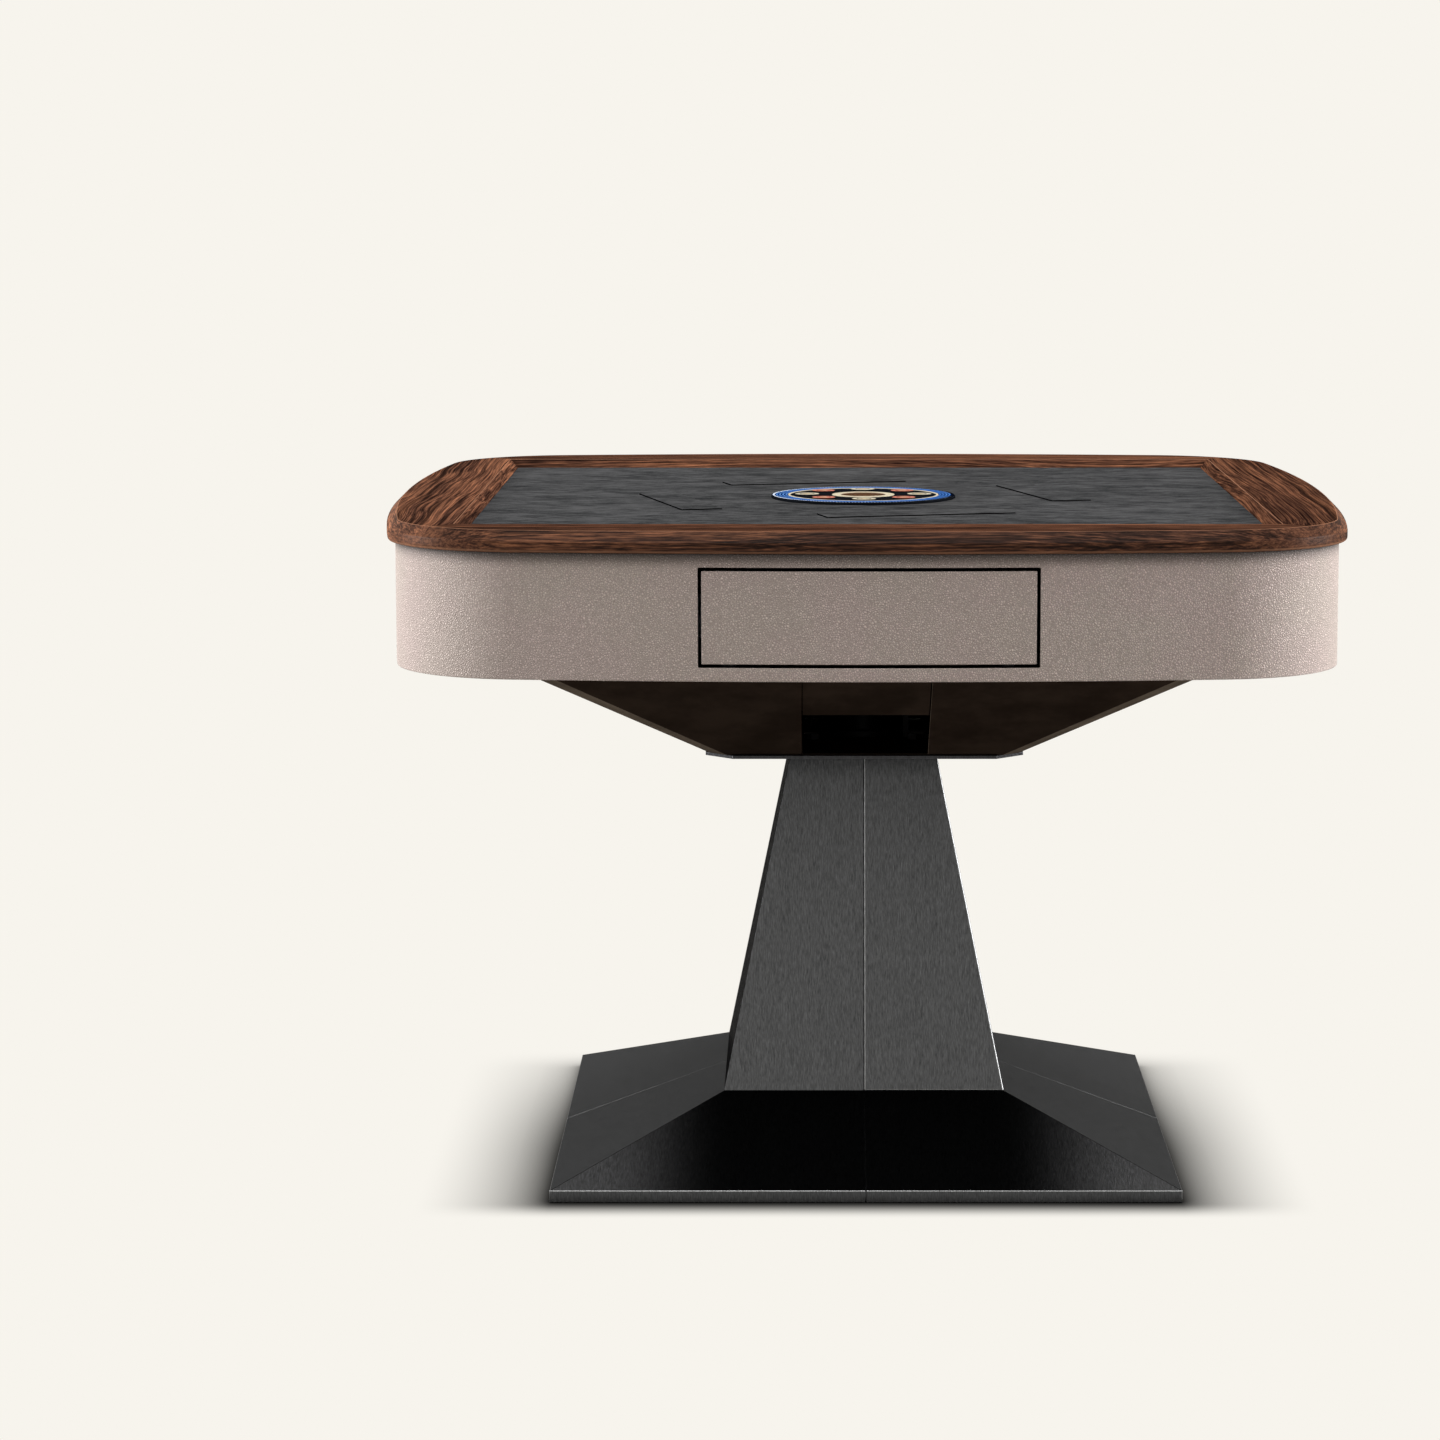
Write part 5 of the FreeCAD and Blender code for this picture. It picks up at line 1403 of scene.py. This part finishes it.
@dataclass
class CentreConsole:
    """Round console with beaded rings, eight buttons and the dice window."""

    cover_top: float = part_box("console_cover")[1].z
    cover_foot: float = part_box("console_cover")[0].z
    cover_edge: float = 0.0003
    inner_ring: float = 0.0875
    ring_pitch: float = 0.0036
    rings: int = 5
    ring_steps: int = 6
    bead_rise: float = 0.0007
    beads: int = 180
    bead_steps: int = 4
    bead_notch: float = 0.65
    ring_notch: float = 0.2
    ring_foot: float = 0.25
    outer_cream: Span = (0.0845, 0.0872)
    inner_cream: Span = (0.0262, 0.0362)
    cream_rise: float = 0.0006
    cream_round: float = 0.6
    cream_steps: int = 128
    cap_steps: int = 64
    button_circle: float = 0.065
    seat_radius: float = 0.014
    corner_radius: float = 0.0135
    shoulder: float = 0.0006
    lip_gap: float = 0.0003
    groove_share: float = 0.55
    groove_half: float = 0.0008
    groove_paint: float = 0.0007
    groove_depth: float = 0.0003
    heart_share: float = 0.32
    flat_lean: float = 0.6
    window_radius: float = 0.0247
    window_edge: float = 0.001
    chamber_radius: float = 0.0225
    die_half: float = 0.0055
    die_reach: float = 0.0083
    die_heading: float = math.radians(33)
    pip_pitch: float = 0.0027
    pip_radius: float = 0.0010
    red_pip_radius: float = 0.0018
    pip_depth: float = 0.0003
    pip_rise: float = 0.00004
    pip_steps: int = 16

    def beaded_rings(self) -> bpy.types.Object:
        """Draw the raised rings, each ridge notched into beads."""
        draft = Draft("beaded_rings")
        count, steps = self.rings * self.ring_steps, self.beads * self.bead_steps
        width = self.rings * self.ring_pitch
        rows = [draft.row(circle(self.inner_ring, self.cover_top, steps))]
        for index in range(count + 1):
            ridge = math.sin(math.pi * (index % self.ring_steps) / self.ring_steps)
            weight = self.bead_notch if index > count - self.ring_steps else self.ring_notch
            row = []
            for step, (x, y, level) in enumerate(
                    circle(self.inner_ring + width * index / count, self.cover_top, steps)):
                notch = 0.5 + 0.5 * math.cos(math.tau * step / steps * self.beads)
                share = ridge * (1.0 - weight + weight * notch)
                rise = self.bead_rise * (self.ring_foot + (1.0 - self.ring_foot) * share)
                row.append((x, y, level + rise))
            rows.append(draft.row(row))
        rows.append(draft.row(circle(self.inner_ring + width, self.cover_top, steps)))
        draft.wrap(rows)
        return soften(draft.build([BeadedEnamel(self.inner_ring, self.ring_pitch, self.beads)]))

    def thin_ring(self, name: str, radii: Span, finish: Finish) -> bpy.types.Object:
        """Draw a flat ring with rounded shoulders on the cover.

        Args:
            name: Name of the piece.
            radii: Its inner and outer radius.
            finish: Its finish.

        Returns:
            The ring.
        """
        inner, outer = radii
        shoulder = self.cream_rise * self.cream_round
        level = self.cover_top + self.cream_rise - shoulder
        profile = ([(inner, self.cover_top)] + arc(inner + shoulder, level, shoulder, 180, 90)
                   + arc(outer - shoulder, level, shoulder, 90, 0) + [(outer, self.cover_top)])
        return lathe(name, profile, [finish], self.cream_steps)

    def button(self, node: str, radius: float, angle: float, finish: Finish) -> bpy.types.Object:
        """Draw one button cap with its lip and a round groove in its top.

        Args:
            node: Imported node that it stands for.
            radius: Radius of the cap.
            angle: Its place on the buttons' circle, in radians.
            finish: Its finish.

        Returns:
            The button.
        """
        low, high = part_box(node)
        lip, lip_top = (high.x - low.x) / 2, self.cover_foot - self.lip_gap
        groove, heart = radius * self.groove_share, radius * self.heart_share
        profile = ([(0.0, low.z), (lip, low.z), (lip, lip_top), (radius, lip_top)]
                   + arc(radius - self.shoulder, high.z - self.shoulder, self.shoulder, 0, 90)
                   + [(groove + self.groove_half, high.z), (groove, high.z - self.groove_depth),
                      (groove - self.groove_half, high.z), (heart, high.z), (0.0, high.z)])
        centre = (self.button_circle * math.cos(angle), self.button_circle * math.sin(angle))
        piece = lathe(node + "_cap", profile, [
            finish, GlossCap("cap_outline", display(12, 12, 14), glow=display(20, 20, 22)),
            GlossCap("cap_heart", display(150, 124, 92), glow=display(196, 178, 146))],
            self.cap_steps, centre)
        paint_faces(piece, 2, lambda polygon: math.dist(polygon.center.xy, centre) < heart)
        paint_faces(piece, 1, lambda polygon: (
            abs(polygon.normal.z) < self.flat_lean
            or abs(math.dist(polygon.center.xy, centre) - groove) < self.groove_paint))
        return piece

    def pane(self) -> bpy.types.Object:
        """Draw the clear pane over the dice."""
        low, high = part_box("dice_window")
        edge = self.window_edge
        return lathe("dice_pane", [
            (0.0, low.z), (self.window_radius, low.z),
            *arc(self.window_radius - edge, high.z - edge, edge, 0, 90, 5), (0.0, high.z)],
            [ClearPane()])

    def housing(self) -> bpy.types.Object:
        """Draw the tub again, with a gold wall round the dice."""
        piece = soften(copy_node("console_housing", "console_tub", [HOUSING_BLACK, SATIN_GOLD]))
        dice_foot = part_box("dice")[0].z
        paint_faces(piece, 1, lambda polygon: (
            polygon.center.xy.length < self.chamber_radius and polygon.center.z > dice_foot))
        return piece

    def pips(self) -> bpy.types.Object:
        """Draw the inlaid pips of both dice, the single one red and the rest black."""
        draft = Draft("dice_pips")
        middle = sum(corner.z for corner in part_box("dice")) / 2
        depths = (-self.pip_depth, self.pip_rise)
        for heading in (self.die_heading, self.die_heading + math.pi):
            turn = Matrix.Rotation(heading, 3, "Z")
            centre = turn @ Vector((self.die_reach, 0.0, middle))
            for direction, cells in DIE_FACES.items():
                out = Vector(direction)
                aside = Vector((1, 0, 0) if out.z else (0, 0, 1))
                upward = out.cross(aside)
                radius = self.red_pip_radius if len(cells) == 1 else self.pip_radius
                for cell in cells:
                    across, along = cell % 3 - 1, cell // 3 - 1
                    spot = (across * self.pip_pitch, along * self.pip_pitch)
                    pip = [(x, y, depth) for depth in depths
                           for x, y, _ in circle(radius, 0.0, self.pip_steps, spot)]
                    row = draft.row([
                        centre + turn @ (out * (self.die_half + z) + aside * x + upward * y)
                        for x, y, z in pip])
                    draft.sweep([row[:self.pip_steps], row[self.pip_steps:]])
        black = GlossCap("pip_black", display(18, 18, 20), glow=display(30, 30, 32))
        red = GlossCap("pip_red", display(170, 30, 26), glow=display(196, 48, 40))
        piece = soften(draft.build([black, red]))
        vertices = piece.data.vertices
        limit = (self.pip_radius + self.red_pip_radius) / 2
        paint_faces(piece, 1, lambda polygon: limit < max(
            (vertices[index].co - polygon.center).length for index in polygon.vertices))
        return piece

    def make(self) -> None:
        """Build the tub, the cover, its rings, the buttons, the pane and the dice's pips."""
        cream = GlossCap("cream_enamel", display(182, 172, 148), glow=display(200, 190, 168))
        white = GlossCap("white_cap", display(166, 158, 138), glow=display(192, 184, 164))
        salmon = GlossCap("salmon_cap", display(172, 104, 88), glow=display(190, 122, 104))
        dial = MouldedPlastic("dial_black", display(20, 22, 26), roughness=0.32, gloss=0.0,
                              depth=0.00002)
        place(self.housing(), "console", "console_plastic", "console_housing")
        place(self.pips(), "dice_table", "console_plastic")
        cover = copy_node("console_cover", "dial_plate", [dial])
        place(soften(cover, self.cover_edge), "console", "console_plastic", "console_cover")
        place(self.beaded_rings(), "console", "console_plastic")
        for name, radii in (("cream_ring_outer", self.outer_cream),
                            ("cream_ring_inner", self.inner_cream)):
            place(self.thin_ring(name, radii, cream), "console", "button_white")
        for side in Side:
            node = "seat_button_" + side.word
            place(self.button(node, self.seat_radius, side.angle, white), node,
                  "button_white", node)
        for side, corner in zip(Side, CORNERS):
            node = "corner_button_" + corner
            place(self.button(node, self.corner_radius, side.angle + math.pi / 4, salmon), node,
                  "button_salmon", node)
        place(self.pane(), "console", "clear_window", "dice_window")


@dataclass
class Pedestal:
    """Pan under the machine, mounting plate, column and pyramid base."""

    fold: float = 0.0006
    highlight_fold: float = 0.0015
    column_steps: int = 3
    flank_lean: float = 0.6
    highlight_lean: float = 0.85
    bevel_lean: float = 0.2
    seam_reach: float = 0.01

    def sheet(self, node: str, name: str, finishes: Sequence[Finish], width: float | None = None,
              steps: int = 2, edge_slot: int = 1) -> bpy.types.Object:
        """Draw a folded sheet from its node, with the finish of the edge slot on its edges."""
        return soften(copy_node(node, name, finishes), width or self.fold, steps, FOLD_ANGLE,
                      edge_slot)

    def is_seam(self, polygon: bpy.types.MeshPolygon, axis: int) -> bool:
        """Tell whether a face is a rounded edge near the middle of an axis."""
        return polygon.material_index == 1 and abs(polygon.center[axis]) < self.seam_reach

    def column_half(self, word: str, steel: Finish) -> None:
        """Build half of the column, with painted shade darkening its flanks, and on the right
        painted highlights on its folds and middle seam.

        Args:
            word: Side of the column that it is on.
            steel: Finish of its front and back.
        """
        # Painted light: the flank finish is a dark copy of the steel, painted shade on the flanks;
        # the fold and seam finishes are light copies, painted highlights.
        flank_shade = BrushedSteel("flank_shade_steel", display(22, 22, 23), roughness=0.5,
                             edge_tint=0.05)
        seam = BrushedSteel("seam_steel", display(140, 141, 143), roughness=0.35,
                            stroke_depth=0.0)
        fold_highlight = BrushedSteel("highlight_steel_fold", display(146, 147, 149), roughness=0.3,
                                edge_tint=0.5, stroke_depth=0.0)
        node, name = "column_shell_" + word, "column_half_" + word
        if word == "right":
            lean = self.highlight_lean
            piece = self.sheet(node, name, [steel, fold_highlight, flank_shade, seam], self.highlight_fold,
                               self.column_steps)
            paint_faces(piece, 3, lambda polygon: self.is_seam(polygon, 0))
        else:
            lean = self.flank_lean
            piece = self.sheet(node, name, [steel, steel, flank_shade], steps=self.column_steps)
        paint_faces(piece, 2, lambda polygon: abs(polygon.normal.x) > lean)
        place(piece, "root", "dark_steel", node)

    def base_quarter(self, word: str, finishes: Sequence[Finish]) -> None:
        """Build a quarter of the base, with painted highlights on its rims and, fainter, on its
        side seam, and its front seam plain.

        Args:
            word: Place of the quarter.
            finishes: Finish of its faces and front seam, of its rims and of its side seam.
        """
        node = "base_cover_" + word
        piece = self.sheet(node, "base_quarter_" + word, finishes)
        paint_faces(piece, 0, lambda polygon: self.is_seam(polygon, 0))
        paint_faces(piece, 2, lambda polygon: self.is_seam(polygon, 1))
        place(piece, "root", "dark_steel", node)

    def make(self) -> None:
        """Build the column, the base, the plate and the pan."""
        steel = BrushedSteel("dark_brushed_steel", display(80, 81, 83))
        for word in ("left", "right"):
            self.column_half(word, steel)
        # The base's rim and side-seam finishes are light copies of its steel: painted highlights
        # on its rounded edges.
        base = [MitredSteel("mitred_brushed_steel", display(81, 82, 84),
                            stroke_depth=0.00025, stroke_gain=1.0),
                BrushedSteel("bright_steel_edge", display(150, 151, 153), roughness=0.3,
                             stroke_depth=0.0),
                BrushedSteel("faint_seam_steel", display(120, 121, 123), stroke_depth=0.0)]
        for word in CORNERS:
            self.base_quarter(word, base)
        # The plate's rim finish is a light copy of its steel: a painted highlight on its edge.
        plate = [BrushedSteel("plate_steel", display(56, 56, 58), edge_tint=0.15),
                 BrushedSteel("plate_rim_steel", display(104, 104, 108), roughness=0.35,
                              stroke_depth=0.0)]
        place(self.sheet("mounting_plate", "joining_plate", plate), "root", "dark_steel",
              "mounting_plate")
        brown = PowderCoat("brown_powder_coat", display(44, 35, 29), gloss=0.0)
        # pan_bevel is a lighter copy of the pan's brown coat on its corner facets: painted light.
        bevel = PowderCoat("pan_bevel", display(92, 82, 72), gloss=0.0)
        # pan_edge is painted shade: near black on the service panels' rounded edges, where their
        # gap to the pan lies in shade.
        shadow = PowderCoat("pan_edge", display(9, 7, 6), roughness=0.6, gloss=0.0)
        pan = self.sheet("hull_shell", "machine_pan", [brown, bevel], edge_slot=0)
        paint_faces(pan, 1, lambda polygon: (
            min(abs(polygon.normal.x), abs(polygon.normal.y)) > self.bevel_lean))
        place(pan, "root", "pan_brown", "hull_shell")
        place(self.sheet("service_covers", "service_panels", [brown, shadow]), "root",
              "pan_brown", "service_covers")


@dataclass
class Machine:
    """Inner and under parts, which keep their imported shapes."""

    def make(self) -> None:
        """Give each part its finish."""
        black_steel = PowderCoat("black_powder_coat", display(34, 34, 35))
        blackened = PowderCoat("blackened_steel", display(20, 20, 21), gloss=0.1)
        black_zinc = MachinedMetal("black_zinc", display(52, 52, 54), roughness=0.4)
        ground = MachinedMetal("ground_steel", display(196, 197, 199), roughness=0.2)
        machine = MouldedPlastic("machine_grey", display(110, 113, 118), roughness=0.45)
        pad = MouldedPlastic("pad_rubber", display(30, 30, 30), roughness=0.8, depth=0.0002)
        belt = MouldedPlastic("belt_rubber", display(24, 24, 24), roughness=0.75, depth=0.0002)
        finishes: dict[str, Finish] = {
            "base_pads": pad, "base_plate": black_steel, "column_post": black_steel,
            "frame_bolts": black_zinc, "mechanism_deck": black_steel, "hatch_pins": ground,
            "tile_beds": machine, "drawer_runners": black_zinc, "tile_tub": machine,
            "turntable": machine, "drum_motor": blackened, "drum_pulley": ground,
            "drive_belt": belt, "lift_guide": blackened, "lift_post": ground,
            "lift_pinion": MouldedPlastic("gear_nylon", display(222, 218, 204), roughness=0.4),
            "lift_motor": blackened, "dice_plate": SATIN_GOLD,
            "dice": GlossCap("dice_ivory", display(228, 220, 202), glow=display(244, 238, 224)),
            "mains_inlet": HOUSING_BLACK, "power_switch": HOUSING_BLACK}
        tray = MouldedPlastic("tray_black", display(44, 44, 46), roughness=0.6, depth=0.0001)
        finishes |= {"drawer_tray_" + side.word: tray for side in Side}
        for node, finish in finishes.items():
            dress(node, finish)


# Studio.


@dataclass(frozen=True)
class FloorPaper(Finish):
    """Seamless pale paper with a painted soft shadow of the base."""

    title: str = "floor_paper"
    tone: Colour = display(247, 244, 237)
    grey: Colour = display(170, 168, 164)
    depth: float = 0.93
    base_half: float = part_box("base_cover_back_right")[1].x
    side_reach: float = 0.150
    front_reach: float = 0.070
    back_span: Span = (-0.15, 0.70)
    back_cut: float = 0.44
    back_margin: float = 0.02
    roughness: float = 0.9
    contact_reach: float = 0.05
    contact_power: float = 2.0
    contact_samples: int = 16
    side_power: float = 1.6

    def painted_base_shadow(self, board: Board) -> Channel:
        """Give how deep the painted shadow of the base is at each point of the floor."""
        x, y, _ = board.split(board.place)
        aside = (abs(x) - self.base_half).most(0.0) / self.side_reach
        beside = (1.0 - aside).most(0.0) ** self.side_power
        front = 1.0 - (y * -1.0).rise(self.base_half, self.base_half + self.front_reach)
        back = ((1.0 - y.rise(*self.back_span))
                * (1.0 - y.rise(self.base_half - self.back_margin, self.back_cut)))
        return beside * front * back * self.depth

    def paint(self, board: Board) -> None:
        """Show the paper's own colour less the painted shadow of the base, darkened further by
        ambient occlusion.
        """
        near = board.number("ShaderNodeAmbientOcclusion", {"samples": self.contact_samples},
                            {"Distance": self.contact_reach}, "AO")
        shade = (1.0 - self.painted_base_shadow(board)) * near ** self.contact_power
        paper = board.node("ShaderNodeEmission", sockets={"Color": self.tone, "Strength": shade})
        board.set_surface(base_color=self.grey, roughness=self.roughness, specular_ior_level=0.0)
        mixed = board.node("ShaderNodeMixShader", sockets={
            0: board.seen(), 1: board.first("ShaderNodeBsdfPrincipled").outputs[0],
            2: paper.outputs[0]})
        board.feed(board.first("ShaderNodeOutputMaterial").inputs["Surface"], mixed.outputs[0])


@dataclass
class Studio:
    """Floor, soft lamps, plain background and the camera."""

    floor_reach: float = 30.0
    ambient: float = 0.25
    backdrop: Colour = display(247, 244, 237)
    aim: Point = (0.0, 0.0, 0.5)
    camera_place: Point = (-0.0607, -4.9968, 1.1859)
    camera_tilt: float = math.radians(82.064)
    lens: float = 108.04
    sensor: float = 36.0
    shift: float = -0.0631
    lamps: tuple[tuple[str, Point, Span, float], ...] = (
        ("side_lamp_left", (-3.2, 0.0, 1.4), (2.0, 2.0), 132.0),
        ("side_lamp_right", (3.2, 0.0, 1.4), (2.0, 2.0), 132.0),
        ("front_lamp", (0.0, -2.5, 4.1), (3.0, 1.4), 62.0),
        ("back_lamp", (0.0, 2.5, 4.1), (3.0, 1.4), 62.0),
        ("top_lamp", (0.0, 0.0, 4.0), (2.6, 2.6), 34.0))

    def floor(self) -> None:
        """Lay the floor."""
        draft = Draft("floor")
        draft.faces.append(draft.row([
            (x * self.floor_reach, y * self.floor_reach, 0.0)
            for x, y in ((-1, -1), (1, -1), (1, 1), (-1, 1))]))
        floor = draft.build([FloorPaper()])
        if floor.data.polygons[0].normal.z < 0:
            floor.data.flip_normals()

    def world(self) -> None:
        """Light all around softly, and show the plain background to sight and gloss."""
        world = bpy.data.worlds.new("studio")
        bpy.context.scene.world = world
        world.use_nodes = True
        world.node_tree.nodes.clear()
        board = Board(world.node_tree)
        strength = board.node("ShaderNodeMapRange", sockets={
            "Value": board.seen(), "To Min": self.ambient, "To Max": 1.0}).outputs[0]
        light = board.node("ShaderNodeBackground", sockets={
            "Color": self.backdrop, "Strength": strength}).outputs[0]
        board.node("ShaderNodeOutputWorld", sockets={"Surface": light})

    def lamp(self, name: str, spot: Point, size: Span, power: float) -> None:
        """Hang one soft lamp that looks at the table.

        Args:
            name: Name of the lamp.
            spot: Its place.
            size: Width and height of its face.
            power: Its power in watts.
        """
        data = bpy.data.lights.new(name, "AREA")
        data.shape = "RECTANGLE"
        data.size, data.size_y = size
        data.energy = power
        lamp = link(name, data)
        lamp.location = spot
        aim = Vector(self.aim) - Vector(spot)
        lamp.rotation_euler = aim.to_track_quat("-Z", "Y").to_euler()
        lamp.visible_camera = False

    def camera(self) -> None:
        """Set the camera at the photograph's angle."""
        data = bpy.data.cameras.new("camera")
        data.lens = self.lens
        data.sensor_width = self.sensor
        data.shift_x = self.shift
        camera = link("camera", data)
        camera.location = self.camera_place
        camera.rotation_euler = (self.camera_tilt, 0.0, 0.0)
        bpy.context.scene.camera = camera

    def make(self) -> None:
        """Build the studio."""
        bpy.context.scene.view_settings.view_transform = "Standard"
        self.floor()
        self.world()
        for lamp in self.lamps:
            self.lamp(*lamp)
        self.camera()


def main() -> None:
    """Build the table and the studio, and log each part's name."""
    logging.basicConfig(level=logging.INFO, format="%(message)s")
    for part in (WalnutRim(), LeatherSkirt(), PlayingSurface(), CentreConsole(), Pedestal(),
                 Machine(), Studio()):
        LOG.info("%s", type(part).__name__)
        part.make()


if __name__ == "__main__":
    main()
